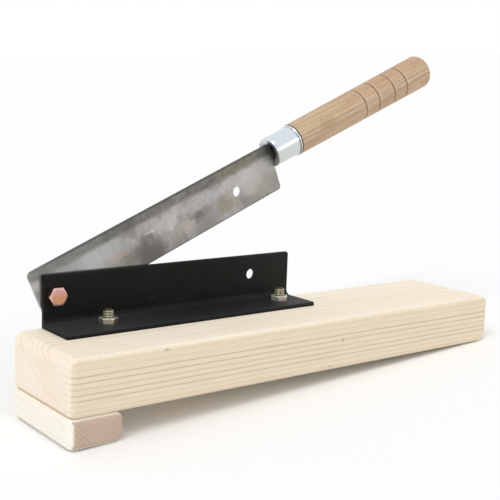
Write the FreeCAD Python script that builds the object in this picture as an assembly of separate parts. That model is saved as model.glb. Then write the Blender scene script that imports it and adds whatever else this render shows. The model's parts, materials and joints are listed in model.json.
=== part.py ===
# Hand lever cutter: a long knife, hinged at one end, shears down along the back of a steel angle
# that is bolted to a pine board. A foot block lifts the pivot end, so the board stands sloping.
#
# Deck frame, where the fixed pieces are drawn: X along the board from the pivot end to the handle
# end, Y from the board's front edge to its back edge, Z up from the board's underside.
# Knife frame, where the moving pieces are drawn: origin on the pivot axis in the middle of the
# blade's thickness, X along the blade to the handle, Y as in the deck frame, Z towards the spine.
# The knife is closed when its X axis lies along the board, and its lock hole then meets the angle's.
# Row frame, in which everything is written: Z up from the floor that the cutter stands on, origin
# under the middle of its bounding box, with the knife resting part open.
import FreeCAD, Part
import math
import os

from FreeCAD import Placement, Rotation, Vector

# Pine board and foot block, millimetres
board_length = 421.0
board_width = 90.0
board_thickness = 41.4
board_end_round = 8.0
board_upright_round = 6.0
board_long_round = 4.0
foot_length = 41.6
foot_height = 21.5
foot_round = 4.0
foot_inner_round = 8.0

# Wood screws that hold the foot block, driven up from below
screw_length = 45.0
screw_diameter = 4.2
screw_head_diameter = 8.4
screw_head_height = 2.6
screw_edge_distance = 21.0
screw_fit = 0.05

# Rolled steel angle, back of its upright leg near the board's back edge
angle_leg = 40.0
angle_thickness = 3.0
angle_length = 228.6
angle_start = 22.6
angle_setback = 3.4
angle_root_round = 4.5
angle_toe_round = 2.0
angle_top_corner_round = 1.5
angle_front_corner_round = 1.0

# Metric fasteners: bolts, nuts and washers share one thread size
thread_diameter = 8.0
hex_width = 13.0
hex_chamfer_width = 12.2
hex_chamfer_angle = 30.0
bolt_head_height = 5.3
bolt_tip_chamfer = 1.0
nut_height = 4.0
washer_diameter = 17.0
washer_thickness = 1.6
spring_washer_diameter = 14.0
spring_washer_thickness = 2.0
spring_washer_split = 1.2
spring_washer_slant = 20.0
thread_fit = 0.05
bolt_hole_clearance = 0.3

# Bolts that hold the angle down, heads sunk in the board's underside
hold_down_from_pivot_end = 45.0
hold_down_from_handle_end = 20.3
hold_down_from_front = 22.0
hold_down_bolt_length = 45.0
hold_down_thread_above_nut = 6.6
wood_washer_diameter = 22.0
counterbore_clearance = 1.0
nut_turns = (32.0, 50.0)
bolt_head_turns = (12.0, 40.0)

# Pivot and lock hole
pivot_from_angle_end = 9.8
pivot_height = 24.0
pivot_bolt_length = 16.0
pivot_nut_turn = 15.0
pivot_running_clearance = 0.05
blade_side_clearance = 0.3
washer_side_clearance = 0.2
lock_hole_spacing = 179.0
lock_hole_diameter = 8.6

# Knife blade, measured from the pivot axis
blade_tail = 12.8
blade_reach = 222.0
blade_spine_height = 23.7
blade_width = 40.3
blade_thickness = 3.2
blade_tail_round = 4.0
blade_heel_round = 3.0
blade_bevel_width = 14.0
blade_edge_land = 0.4
tang_root_width = 14.0
tang_tip_width = 8.0
tang_tip_round = 2.0
tang_length = 85.0
tang_fit = 0.1

# Ferrule and turned wooden handle, round about one axis
handle_axis_height = 16.1
ferrule_length = 27.0
ferrule_overlap = 0.8
ferrule_radius = 12.8
ferrule_nose_round = 1.0
ferrule_dish_depth = 2.4
ferrule_wall = 0.8
ferrule_bead_width = 2.2
ferrule_bead_height = 1.3
ferrule_fit = 0.05
handle_length = 164.7
handle_front_radius = 13.9
handle_rear_radius = 15.2
handle_butt_round = 6.0
grooves_from_butt = (86.7, 70.1, 50.4, 34.4)
groove_round = 1.6
groove_depth = 0.9

# Flats that stand for the turned pieces' small rounds
nose_steps = 1
dish_steps = 2
bead_steps = 3
groove_steps = 2
butt_steps = 3

# Resting pose and travel
resting_opening = 22.8
stop_gap = 0.3

# Places that follow from the driving dimensions
deck = board_thickness
angle_end = angle_start + angle_length
angle_back = board_width - angle_setback
angle_face = angle_back - angle_thickness
angle_front = angle_back - angle_leg
pivot_x = angle_start + pivot_from_angle_end
pivot_z = deck + pivot_height
blade_middle = angle_back + blade_side_clearance + blade_thickness / 2
blade_edge_height = blade_spine_height - blade_width
hold_down_y = angle_front + hold_down_from_front
hold_down_places = (angle_start + hold_down_from_pivot_end, angle_end - hold_down_from_handle_end)
hold_down_top = deck + angle_thickness + nut_height + hold_down_thread_above_nut
hold_down_head = hold_down_top - hold_down_bolt_length
screw_places = (screw_edge_distance, board_width - screw_edge_distance)
hex_corner_radius = hex_width / 2 / math.cos(math.radians(30))
ferrule_front = blade_reach - ferrule_overlap
ferrule_end = ferrule_front + ferrule_length
handle_end = ferrule_end + handle_length
overcut = 1.0
gentle_taper = 0.05

ALONG_X = Vector(1, 0, 0)
ALONG_Y = Vector(0, 1, 0)
ALONG_Z = Vector(0, 0, 1)


# ---- Drawing helpers ----

def rounded_outline(corners):
    """Closed wire through (point, radius) corners; a radius of 0 leaves the corner sharp."""
    entries = []
    exits = []
    middles = []
    for index, (point, radius) in enumerate(corners):
        back = (corners[index - 1][0] - point).normalize()
        ahead = (corners[(index + 1) % len(corners)][0] - point).normalize()
        half_angle = back.getAngle(ahead) / 2
        trim = radius / math.tan(half_angle)
        inward = (back + ahead).normalize()
        centre = point + inward * (radius / math.sin(half_angle))
        entries.append(point + back * trim)
        exits.append(point + ahead * trim)
        middles.append(centre - inward * radius)
    edges = []
    for index, (point, radius) in enumerate(corners):
        if radius > 0:
            edges.append(Part.Arc(entries[index], middles[index], exits[index]).toShape())
        following = (index + 1) % len(corners)
        edges.append(Part.makeLine(exits[index], entries[following]))
    return Part.Wire(edges)


def plate(corners, thickness):
    """Solid from a closed outline of (point, radius) corners, pushed along the thickness vector."""
    return Part.Face(rounded_outline(corners)).extrude(thickness)


def profile_edge(start, end, axis):
    """Straight edge of a turned profile; a gentle taper is a spline, which takes fewer facets than a cone."""
    along = (end - start).dot(axis)
    across = (end - start - axis * along).Length
    if 0 < across < gentle_taper * abs(along):
        taper = Part.BezierCurve()
        taper.setPoles([start, end])
        return taper.toShape()
    return Part.makeLine(start, end)


def turned(points, axis):
    """Solid of revolution about an axis through the origin from a closed ring of points."""
    edges = [profile_edge(start, end, axis) for start, end in zip(points, points[1:] + points[:1])]
    return Part.Face(Part.Wire(edges)).revolve(Vector(), axis, 360)


def arc_points(centre, radius, start, end, steps):
    """Points along an arc in the XZ plane; its angles run from Z towards X, in degrees."""
    angles = [math.radians(start + (end - start) * step / steps) for step in range(steps + 1)]
    return [centre + Vector(radius * math.sin(angle), 0, radius * math.cos(angle)) for angle in angles]


def sanded_block(length, width, height, side_rounds, plan_round, section_round):
    """Block with one corner at the origin, rounded over as seen from the side, from above and from its
    end; side_rounds are the radii of its lower near, lower far, upper far and upper near edges."""
    side_corners = [Vector(), Vector(length, 0, 0), Vector(length, 0, height), Vector(0, 0, height)]
    plan_corners = [Vector(), Vector(length, 0, 0), Vector(length, width, 0), Vector(0, width, 0)]
    end_corners = [Vector(), Vector(0, width, 0), Vector(0, width, height), Vector(0, 0, height)]
    side = plate(list(zip(side_corners, side_rounds)), ALONG_Y * width)
    plan = plate([(corner, plan_round) for corner in plan_corners], ALONG_Z * height)
    end = plate([(corner, section_round) for corner in end_corners], ALONG_X * length)
    return side.common(plan).common(end)


def stand(shape, base, direction, turn=0.0):
    """Shape drawn along Z, turned about its own axis, then stood at base along direction."""
    pose = Placement(base, Rotation(ALONG_Z, direction) * Rotation(ALONG_Z, turn))
    return shape.transformed(pose.toMatrix())


# ---- Fasteners, drawn along Z ----

def hexagon(height):
    """Plain hexagon blank standing on Z = 0."""
    corners = [Vector(hex_corner_radius, 0, 0)]
    for side in range(1, 6):
        corners.append(Rotation(ALONG_Z, 60 * side).multVec(corners[0]))
    return Part.Face(Part.makePolygon(corners + corners[:1])).extrude(ALONG_Z * height)


def chamfered_hexagon(height):
    """Hexagon blank standing on Z = 0 with the corners of its top chamfered."""
    top_radius = hex_chamfer_width / 2
    drop = (hex_corner_radius - top_radius) * math.tan(math.radians(hex_chamfer_angle))
    envelope = turned([Vector(), Vector(hex_corner_radius, 0, 0),
                       Vector(hex_corner_radius, 0, height - drop),
                       Vector(top_radius, 0, height), Vector(0, 0, height)], ALONG_Z)
    return hexagon(height).common(envelope)


def hex_bolt(length, blank):
    """Hex bolt: shank up from Z = 0 with a chamfered tip, its head cut from the blank below."""
    radius = thread_diameter / 2
    shank = turned([Vector(), Vector(radius, 0, 0), Vector(radius, 0, length - bolt_tip_chamfer),
                    Vector(radius - bolt_tip_chamfer, 0, length), Vector(0, 0, length)], ALONG_Z)
    head = stand(blank, Vector(), -ALONG_Z)
    return shank.fuse(head).removeSplitter()


def hex_nut():
    """Hex nut standing on Z = 0, chamfered on top."""
    bore_radius = thread_diameter / 2 + thread_fit
    return chamfered_hexagon(nut_height).cut(Part.makeCylinder(bore_radius, nut_height))


def ring(outer_diameter, thickness):
    """Flat ring round the thread, standing on Z = 0."""
    bore = Part.makeCylinder(thread_diameter / 2 + thread_fit, thickness)
    return Part.makeCylinder(outer_diameter / 2, thickness).cut(bore)


def spring_washer():
    """Spring washer pressed flat: a ring with one slanting split."""
    split = Part.makeBox(spring_washer_diameter, spring_washer_split, 3 * spring_washer_thickness)
    middle = Vector(0, spring_washer_split / 2, 1.5 * spring_washer_thickness)
    split.translate(-middle)
    split = split.transformed(Placement(Vector(), Rotation(ALONG_X, spring_washer_slant)).toMatrix())
    split.translate(ALONG_Z * (spring_washer_thickness / 2))
    return ring(spring_washer_diameter, spring_washer_thickness).cut(split)


def wood_screw(fit=0.0):
    """Countersunk wood screw, head at Z = 0 and shank above; fit widens it for its hole."""
    head_radius = screw_head_diameter / 2 + fit
    radius = screw_diameter / 2 + fit
    return turned([Vector(), Vector(head_radius, 0, 0), Vector(radius, 0, screw_head_height),
                   Vector(radius, 0, screw_length + fit), Vector(0, 0, screw_length + fit)], ALONG_Z)


# ---- Fixed pieces, deck frame ----

def placed_screws(fit=0.0):
    """The foot's wood screws in their places."""
    return [stand(wood_screw(fit), Vector(foot_length / 2, y, -foot_height), ALONG_Z)
            for y in screw_places]


def make_board():
    """Pine board with softly rounded ends, bolt holes sunk from below and screw holes."""
    board = sanded_block(board_length, board_width, board_thickness,
                         [board_end_round] * 4, board_upright_round, board_long_round)
    hole_radius = thread_diameter / 2 + bolt_hole_clearance
    sink_radius = wood_washer_diameter / 2 + counterbore_clearance
    sink_depth = hold_down_head + washer_thickness
    for x in hold_down_places:
        base = Vector(x, hold_down_y, 0)
        board = board.cut(Part.makeCylinder(hole_radius, deck, base))
        board = board.cut(Part.makeCylinder(sink_radius, sink_depth + overcut, base - ALONG_Z * overcut))
    for screw in placed_screws(screw_fit):
        board = board.cut(screw)
    return board


def make_foot_block():
    """Foot block across the board's pivot end, its inner lower edge rounded most."""
    side_rounds = [foot_round, foot_inner_round, foot_round, foot_round]
    block = sanded_block(foot_length, board_width, foot_height, side_rounds, foot_round, foot_round)
    block.translate(Vector(0, 0, -foot_height))
    for screw in placed_screws(screw_fit):
        block = block.cut(screw)
    return block


def make_angle_bracket():
    """Rolled angle: one leg flat on the deck, one upright, with rounded toes, root and corners."""
    top = deck + angle_leg
    section = plate([(Vector(angle_start, angle_back, deck), 0),
                     (Vector(angle_start, angle_front, deck), 0),
                     (Vector(angle_start, angle_front, deck + angle_thickness), angle_toe_round),
                     (Vector(angle_start, angle_face, deck + angle_thickness), angle_root_round),
                     (Vector(angle_start, angle_face, top), angle_toe_round),
                     (Vector(angle_start, angle_back, top), 0)], ALONG_X * angle_length)
    plan = plate([(Vector(angle_start, angle_front, deck), angle_top_corner_round),
                  (Vector(angle_end, angle_front, deck), angle_front_corner_round),
                  (Vector(angle_end, angle_back, deck), 0),
                  (Vector(angle_start, angle_back, deck), 0)], ALONG_Z * angle_leg)
    elevation = plate([(Vector(angle_start, angle_front, deck), 0),
                       (Vector(angle_end, angle_front, deck), 0),
                       (Vector(angle_end, angle_front, top), angle_top_corner_round),
                       (Vector(angle_start, angle_front, top), angle_top_corner_round)],
                      ALONG_Y * angle_leg)
    bracket = section.common(plan).common(elevation)
    bolt_radius = thread_diameter / 2 + bolt_hole_clearance
    for x in hold_down_places:
        bracket = bracket.cut(Part.makeCylinder(bolt_radius, angle_leg, Vector(x, hold_down_y, deck)))
    pivot_radius = thread_diameter / 2 + pivot_running_clearance
    for x, radius in ((pivot_x, pivot_radius), (pivot_x + lock_hole_spacing, lock_hole_diameter / 2)):
        bracket = bracket.cut(Part.makeCylinder(radius, angle_leg, Vector(x, angle_front, pivot_z), ALONG_Y))
    return bracket


def make_fixed_pieces():
    """Every piece that stands still, by node name, in the deck frame."""
    pieces = {"board": make_board(), "foot_block": make_foot_block(), "angle_bracket": make_angle_bracket()}
    for name, screw in zip(("foot_screw_front", "foot_screw_rear"), placed_screws()):
        pieces[name] = screw
    for index, end in enumerate(("pivot_end", "handle_end")):
        under_head = Vector(hold_down_places[index], hold_down_y, hold_down_head)
        on_angle = Vector(under_head.x, under_head.y, deck + angle_thickness)
        bolt = hex_bolt(hold_down_bolt_length, hexagon(bolt_head_height))
        washer = ring(wood_washer_diameter, washer_thickness)
        pieces["hold_down_bolt_" + end] = stand(bolt, under_head, ALONG_Z, bolt_head_turns[index])
        pieces["hold_down_washer_" + end] = stand(washer, under_head, ALONG_Z)
        pieces["hold_down_nut_" + end] = stand(hex_nut(), on_angle, ALONG_Z, nut_turns[index])
    seat = Vector(pivot_x, angle_face, pivot_z)
    pivot_bolt = hex_bolt(pivot_bolt_length, chamfered_hexagon(bolt_head_height))
    pieces["pivot_bolt"] = stand(pivot_bolt, seat, ALONG_Y)
    seat.y = blade_middle + blade_thickness / 2 + washer_side_clearance
    pieces["pivot_washer"] = stand(ring(washer_diameter, washer_thickness), seat, ALONG_Y)
    seat.y += washer_thickness
    pieces["pivot_spring_washer"] = stand(spring_washer(), seat, ALONG_Y)
    seat.y += spring_washer_thickness
    pieces["pivot_nut"] = stand(hex_nut(), seat, ALONG_Y, pivot_nut_turn)
    return pieces


# ---- Moving pieces, knife frame ----

def tang_corners(fit=0.0):
    """Corners of the tang from its lower root to its upper root; fit widens it for its mortise."""
    tip = ferrule_front + tang_length + fit
    low = handle_axis_height - fit
    high = handle_axis_height + fit
    return [(Vector(ferrule_front, 0, low - tang_root_width / 2), 0),
            (Vector(tip, 0, low - tang_tip_width / 2), tang_tip_round),
            (Vector(tip, 0, high + tang_tip_width / 2), tang_tip_round),
            (Vector(ferrule_front, 0, high + tang_root_width / 2), 0)]


def centred_plate(corners, thickness):
    """Plate across the blade's middle plane."""
    solid = plate(corners, ALONG_Y * thickness)
    solid.translate(ALONG_Y * (-thickness / 2))
    return solid


def make_blade():
    """Blade with its tang: flat on the side that meets the angle, one long bevel on the other, and a
    small step in its heel where the ferrule's front stands over it."""
    tail = Vector(-blade_tail, 0, 0)
    heel = Vector(blade_reach, 0, 0)
    front = Vector(ferrule_front, 0, 0)
    edge = ALONG_Z * blade_edge_height
    spine = ALONG_Z * blade_spine_height
    step = ALONG_Z * (handle_axis_height - ferrule_radius - tang_fit)
    outline = [(tail + edge, 0), (heel + edge, blade_heel_round), (heel + step, 0), (front + step, 0)]
    outline += tang_corners() + [(front + spine, 0), (tail + spine, blade_tail_round)]
    blade = centred_plate(outline, blade_thickness)
    half = blade_thickness / 2
    slope = (blade_thickness - blade_edge_land) / blade_bevel_width
    run_out = blade_edge_height - overcut
    start = -blade_tail - overcut
    bevel = Part.makePolygon([Vector(start, half, blade_edge_height + blade_bevel_width),
                              Vector(start, blade_edge_land - half - slope * overcut, run_out),
                              Vector(start, half + overcut, run_out),
                              Vector(start, half + overcut, blade_edge_height + blade_bevel_width),
                              Vector(start, half, blade_edge_height + blade_bevel_width)])
    blade = blade.cut(Part.Face(bevel).extrude(ALONG_X * (blade_tail + blade_reach + 2 * overcut)))
    pivot_radius = thread_diameter / 2 + pivot_running_clearance
    for x, radius in ((0, pivot_radius), (lock_hole_spacing, lock_hole_diameter / 2)):
        blade = blade.cut(Part.makeCylinder(radius, blade_thickness, Vector(x, -half, 0), ALONG_Y))
    return blade


def make_ferrule():
    """Pressed metal cap over the handle's nose: dished front with the tang's slot, rolled rear rim."""
    nose = ferrule_nose_round
    nose_centre = Vector(ferrule_front + nose, 0, ferrule_radius - nose)
    dish_radius = nose_centre.z
    dish_round = (dish_radius ** 2 + ferrule_dish_depth ** 2) / (2 * ferrule_dish_depth)
    dish_centre = Vector(ferrule_front + ferrule_dish_depth - dish_round, 0, 0)
    dish_rim = math.degrees(math.acos(dish_radius / dish_round))
    half_bead = ferrule_bead_width / 2
    bead_radius = (half_bead ** 2 + ferrule_bead_height ** 2) / (2 * ferrule_bead_height)
    bead_centre = Vector(ferrule_end - half_bead, 0, ferrule_radius + ferrule_bead_height - bead_radius)
    bead_reach = math.degrees(math.acos(1 - ferrule_bead_height / bead_radius))
    profile = arc_points(dish_centre, dish_round, 90, dish_rim, dish_steps)
    profile += arc_points(nose_centre, nose, -90, 0, nose_steps)[1:]
    profile += arc_points(bead_centre, bead_radius, -bead_reach, bead_reach, bead_steps)
    inner_front = ferrule_front + ferrule_dish_depth + ferrule_wall
    profile += [Vector(ferrule_end, 0, ferrule_radius - ferrule_wall),
                Vector(inner_front, 0, ferrule_radius - ferrule_wall), Vector(inner_front, 0, 0)]
    cap = turned(profile, ALONG_X)
    cap.translate(ALONG_Z * handle_axis_height)
    return cap.cut(centred_plate(tang_corners(tang_fit), blade_thickness + 2 * tang_fit))


def groove_points(x):
    """Profile of one grip groove at x, from its front lip to its rear lip."""
    share = (x - ferrule_end) / handle_length
    surface = handle_front_radius + share * (handle_rear_radius - handle_front_radius)
    centre = Vector(x, 0, surface + groove_round - groove_depth)
    reach = math.degrees(math.acos(1 - groove_depth / groove_round))
    return arc_points(centre, groove_round, 180 + reach, 180 - reach, groove_steps)


def make_handle():
    """Turned handle: a nose inside the ferrule, a slow swell, grip grooves and a round butt."""
    nose_start = ferrule_front + ferrule_dish_depth + ferrule_wall + ferrule_fit
    nose_radius = ferrule_radius - ferrule_wall - ferrule_fit
    profile = [Vector(nose_start, 0, 0),
               Vector(nose_start, 0, nose_radius),
               Vector(ferrule_end, 0, nose_radius),
               Vector(ferrule_end, 0, handle_front_radius)]
    for from_butt in grooves_from_butt:
        profile += groove_points(handle_end - from_butt)
    butt_centre = Vector(handle_end - handle_butt_round, 0, handle_rear_radius - handle_butt_round)
    profile += arc_points(butt_centre, handle_butt_round, 0, 90, butt_steps)
    handle = turned(profile + [Vector(handle_end, 0, 0)], ALONG_X)
    handle.translate(ALONG_Z * handle_axis_height)
    return handle.cut(centred_plate(tang_corners(tang_fit), blade_thickness + 2 * tang_fit))


def make_moving_pieces():
    """The knife's pieces by node name, moved to the deck frame at the resting opening."""
    pieces = {"blade": make_blade(), "ferrule": make_ferrule(), "handle": make_handle()}
    at_rest = Placement(Vector(pivot_x, blade_middle, pivot_z), Rotation(-ALONG_Y, resting_opening))
    return {name: piece.transformed(at_rest.toMatrix()) for name, piece in pieces.items()}


# ---- Travel and standing ----

def closing_travel():
    """Degrees from rest down to the blade's edge standing stop_gap above the board."""
    drop = pivot_height - stop_gap
    reach = math.hypot(blade_reach, blade_edge_height)
    below_closed = math.asin(drop / reach) - math.atan2(-blade_edge_height, blade_reach)
    return resting_opening + math.degrees(below_closed)


def opening_travel():
    """Degrees from rest up to the blade's tail corner standing stop_gap above the board."""
    corner_x = -blade_tail + blade_tail_round
    corner_z = blade_spine_height - blade_tail_round
    drop = pivot_height - stop_gap - blade_tail_round
    turned_to = math.pi + math.asin(drop / math.hypot(corner_x, corner_z))
    return math.degrees(turned_to - math.atan2(corner_z, corner_x)) - resting_opening


def slope():
    """Degrees that the board slopes down towards its handle end as it stands on foot and far edge."""
    run = board_length - board_end_round - (foot_length - foot_inner_round)
    rise = board_end_round + foot_height - foot_inner_round
    straight = math.atan2(rise, run)
    return math.degrees(straight + math.asin((foot_inner_round - board_end_round) / math.hypot(run, rise)))


def standing(pieces):
    """Placement from the deck frame to the row frame."""
    tilt = Placement(Vector(), Rotation(ALONG_Y, slope()))
    box = Part.makeCompound(pieces).transformed(tilt.toMatrix()).optimalBoundingBox(False, False)
    shift = Placement(-Vector(box.Center.x, box.Center.y, box.ZMin), Rotation())
    return shift * tilt


def main():
    """Build every piece, stand the cutter on the floor and write one file for each node."""
    pieces = make_fixed_pieces()
    pieces.update(make_moving_pieces())
    to_row = standing(list(pieces.values()))
    os.makedirs("parts", exist_ok=True)
    for name, piece in pieces.items():
        piece.transformed(to_row.toMatrix()).exportStep("parts/" + name + ".step")
    lock = Vector(pivot_x + lock_hole_spacing, angle_back - angle_thickness / 2, pivot_z)
    print("slope", slope(), "travel", -closing_travel(), opening_travel())
    print("pivot", to_row.multVec(Vector(pivot_x, blade_middle, pivot_z)))
    print("lock hole in angle", to_row.multVec(lock))
    print("deck frame origin", to_row.multVec(Vector()))


main()
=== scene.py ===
"""Dressed model of a hand lever cutter: a hinged knife that shears down along a black steel angle
on a sloping pine board.

Sizes are in millimetres in two drawing frames. The deck frame starts at the board's lower front
corner at the pivot end, with X along the board, Y from the front edge to the back and Z up from
the underside. The knife frame starts on the pivot axis in the middle of the blade, with X along
the blade to the handle, Y as in the deck frame and Z towards the spine. A finished piece is
written in the row frame, in metres.
"""

import json
import logging
import math
from dataclasses import dataclass
from enum import Enum
from typing import Any, Sequence

import bmesh
import bpy
from mathutils import Matrix, Quaternion, Vector

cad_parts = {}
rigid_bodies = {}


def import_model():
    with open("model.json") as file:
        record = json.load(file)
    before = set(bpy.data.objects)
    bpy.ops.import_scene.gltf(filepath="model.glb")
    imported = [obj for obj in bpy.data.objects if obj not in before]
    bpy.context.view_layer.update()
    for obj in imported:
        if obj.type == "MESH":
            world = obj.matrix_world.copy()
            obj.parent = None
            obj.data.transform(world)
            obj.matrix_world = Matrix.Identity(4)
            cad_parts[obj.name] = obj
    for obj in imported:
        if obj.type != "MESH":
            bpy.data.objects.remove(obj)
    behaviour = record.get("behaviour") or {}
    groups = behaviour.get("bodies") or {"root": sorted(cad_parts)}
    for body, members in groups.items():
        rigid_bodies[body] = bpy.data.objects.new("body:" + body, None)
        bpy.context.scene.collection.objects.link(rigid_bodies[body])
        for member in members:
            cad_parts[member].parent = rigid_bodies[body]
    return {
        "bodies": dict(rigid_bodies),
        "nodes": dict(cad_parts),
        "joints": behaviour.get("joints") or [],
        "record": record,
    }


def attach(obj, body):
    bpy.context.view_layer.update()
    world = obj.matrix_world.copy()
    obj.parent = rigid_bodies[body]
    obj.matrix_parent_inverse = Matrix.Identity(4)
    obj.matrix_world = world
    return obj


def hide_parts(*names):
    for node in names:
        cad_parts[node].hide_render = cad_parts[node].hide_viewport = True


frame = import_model()

LOG = logging.getLogger("lever_cutter")
MM = 0.001
WELD = 1e-4
OVER = 1.0  # how far a cutter passes beyond the face that it cuts
ALONG_X = Vector((1.0, 0.0, 0.0))
ALONG_Y = Vector((0.0, 1.0, 0.0))
ALONG_Z = Vector((0.0, 0.0, 1.0))
Shade = tuple[int, int, int]
Pair = tuple[float, float]
Triple = tuple[float, float, float]
Mesh = bpy.types.Mesh
Material = bpy.types.Material


class Body(Enum):
    """The two bodies that pieces ride on."""

    BASE = "base"
    KNIFE = "knife"


class Cut(Enum):
    """How one solid is worked with another."""

    AWAY = "DIFFERENCE"
    COMMON = "INTERSECT"


class Grain(Enum):
    """Which way a wooden piece's fibres run, as degrees turned from its frame's X axis."""

    LENGTHWISE = 0.0
    CROSSWISE = 90.0


class Plane(Enum):
    """Plane of an outline: the axes of its two coordinates, then that of its depth."""

    DECK = (0, 1, 2)
    SIDE = (0, 2, 1)
    SECTION = (1, 2, 0)


def paint(shade: Shade) -> tuple[float, float, float, float]:
    """Turn screen values from 0 to 255 into a linear colour with full cover."""
    parts = [value / 255.0 for value in shade]
    linear = [p / 12.92 if p <= 0.04045 else ((p + 0.055) / 1.055) ** 2.4 for p in parts]
    return (linear[0], linear[1], linear[2], 1.0)


# ---- Frames ----

def frame_matrix(origin: Vector, along: Vector, up: Vector) -> Matrix:
    """Placement from a drawing frame in millimetres to the row frame in metres.

    Args:
        origin: The frame's origin in the row frame, in metres.
        along: Direction of its X axis.
        up: Direction of its Z axis.

    Returns:
        The placement matrix.
    """
    turn = Matrix((along, up.cross(along), up)).transposed()
    return Matrix.Translation(origin) @ turn.to_4x4() @ Matrix.Scale(MM, 4)


@dataclass(frozen=True)
class Frames:
    """Where the deck and the resting knife stand in the row frame."""

    deck: Matrix
    knife: Matrix

    @classmethod
    def from_record(cls, packed: dict[str, Any], length: float, thickness: float) -> "Frames":
        """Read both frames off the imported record's mounts and its hinge.

        Args:
            length: The board's length.
            thickness: The board's thickness.

        Returns:
            The two frames.
        """
        mounts = {mount["name"]: mount for mount in packed["record"]["mounts"]}
        up = Vector(mounts["deck_clamp_patch"]["axis"]).normalized()
        along = ALONG_Y.cross(up)
        front_middle = Vector(mounts["front_vice_face"]["pos_m"])
        corner = front_middle - (along * length + up * thickness) * (MM / 2)
        pivot = Vector(packed["joints"][0]["pos_m"])
        reach = (Vector(mounts["blade_lock_hole"]["pos_m"]) - pivot).normalized()
        return cls(frame_matrix(corner, along, up), frame_matrix(pivot, reach, reach.cross(ALONG_Y)))


def shift(x: float = 0.0, y: float = 0.0, z: float = 0.0) -> Matrix:
    """Placement that only moves a piece."""
    return Matrix.Translation((x, y, z))


def spin(degrees: float, axis: str = "Z") -> Matrix:
    """Placement that only turns a piece about one axis."""
    return Matrix.Rotation(math.radians(degrees), 4, axis)


def stood(base: Sequence[float], direction: Vector, turn: float = 0.0) -> Matrix:
    """Placement that stands a piece drawn along Z.

    Args:
        base: Where the piece's own origin goes.
        direction: Where its Z axis points.
        turn: Degrees turned about its own axis first.

    Returns:
        The placement matrix.
    """
    tilt = ALONG_Z.rotation_difference(direction).to_matrix().to_4x4()
    return shift(*base) @ tilt @ spin(turn)


# ---- Node trees ----

class Term:
    """A value running through a node tree, so that a rule reads as a formula."""

    def __init__(self, mixer: "Mixer", socket: bpy.types.NodeSocket) -> None:
        """Keep the socket that carries the value."""
        self.mixer = mixer
        self.socket = socket

    def _do(self, operation: str, *others: "Term | float") -> "Term":
        """Add one Math node on this term and the others."""
        return self.mixer.get("ShaderNodeMath", [self, *others], operation=operation)

    def __add__(self, other: "Term | float") -> "Term":
        """Sum."""
        return self._do("ADD", other)

    def __sub__(self, other: "Term | float") -> "Term":
        """Difference."""
        return self._do("SUBTRACT", other)

    def __mul__(self, other: "Term | float") -> "Term":
        """Product."""
        return self._do("MULTIPLY", other)

    def __truediv__(self, other: "Term | float") -> "Term":
        """Quotient."""
        return self._do("DIVIDE", other)

    def at_least(self, other: "Term | float") -> "Term":
        """The larger of the two."""
        return self._do("MAXIMUM", other)

    def at_most(self, other: "Term | float") -> "Term":
        """The smaller of the two."""
        return self._do("MINIMUM", other)

    def clamped(self) -> "Term":
        """Value kept from 0 to 1."""
        return self.at_least(0.0).at_most(1.0)

    def above(self, other: "Term | float") -> "Term":
        """1 where this term is the larger, else 0."""
        return self._do("GREATER_THAN", other)

    def swing(self, reach: float) -> "Term":
        """A share from 0 to 1 as a swing about zero, as wide as reach."""
        return (self - 0.5) * reach

    def squared(self) -> "Term":
        """Value times itself."""
        return self * self

    def root(self) -> "Term":
        """Square root."""
        return self._do("SQRT")

    def size(self) -> "Term":
        """Value without its sign."""
        return self._do("ABSOLUTE")

    def fraction(self) -> "Term":
        """Part after the point."""
        return self._do("FRACT")

    def whole(self) -> "Term":
        """Whole number below."""
        return self._do("FLOOR")

    def sine(self) -> "Term":
        """Sine of radians."""
        return self._do("SINE")

    def cosine(self) -> "Term":
        """Cosine of radians."""
        return self._do("COSINE")


class Mixer:
    """Adds nodes to a tree and joins them up."""

    def __init__(self, tree: bpy.types.NodeTree) -> None:
        """Work on the given tree."""
        self.tree = tree

    def add(self, kind: str, inputs: Sequence[Any] | dict[Any, Any] = (), **settings: Any) -> bpy.types.Node:
        """Add one node.

        Args:
            kind: The node's type.
            inputs: Terms or constants for its inputs, in order or by name; None skips one.
            **settings: The node's own properties.

        Returns:
            The new node.
        """
        node = self.tree.nodes.new(kind)
        for key, value in settings.items():
            setattr(node, key, value)
        for key, value in inputs.items() if isinstance(inputs, dict) else enumerate(inputs):
            if isinstance(value, Term):
                self.tree.links.new(value.socket, node.inputs[key])
            elif value is not None:
                node.inputs[key].default_value = value
        return node

    def term(self, node: bpy.types.Node, output: int | str = 0) -> Term:
        """Take a node's output as a term."""
        return Term(self, node.outputs[output])

    def get(self, kind: str, inputs: Sequence[Any] | dict[Any, Any] = (), output: int | str = 0,
            **settings: Any) -> Term:
        """Add one node as add does, and take one of its outputs."""
        return self.term(self.add(kind, inputs, **settings), output)

    def parts(self, vector: Term) -> tuple[Term, Term, Term]:
        """Split a vector into its three parts."""
        split = self.add("ShaderNodeSeparateXYZ", [vector])
        return self.term(split, 0), self.term(split, 1), self.term(split, 2)

    def vector(self, x: Term | float, y: Term | float, z: Term | float) -> Term:
        """Join three parts into a vector."""
        return self.get("ShaderNodeCombineXYZ", [x, y, z])

    def noise(self, vector: Term, detail: float, roughness: float, warp: float) -> Term:
        """Smooth noise from 0 to 1 with blotches one unit wide."""
        return self.get("ShaderNodeTexNoise", {"Vector": vector, "Scale": 1.0, "Detail": detail,
                                               "Roughness": roughness, "Distortion": warp})


def empty_tree(owner: Material | bpy.types.World) -> bpy.types.NodeTree:
    """Give a material or a world an empty node tree.

    Args:
        owner: The material or world.

    Returns:
        The tree.
    """
    owner.use_nodes = True
    owner.node_tree.nodes.clear()
    return owner.node_tree


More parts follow.
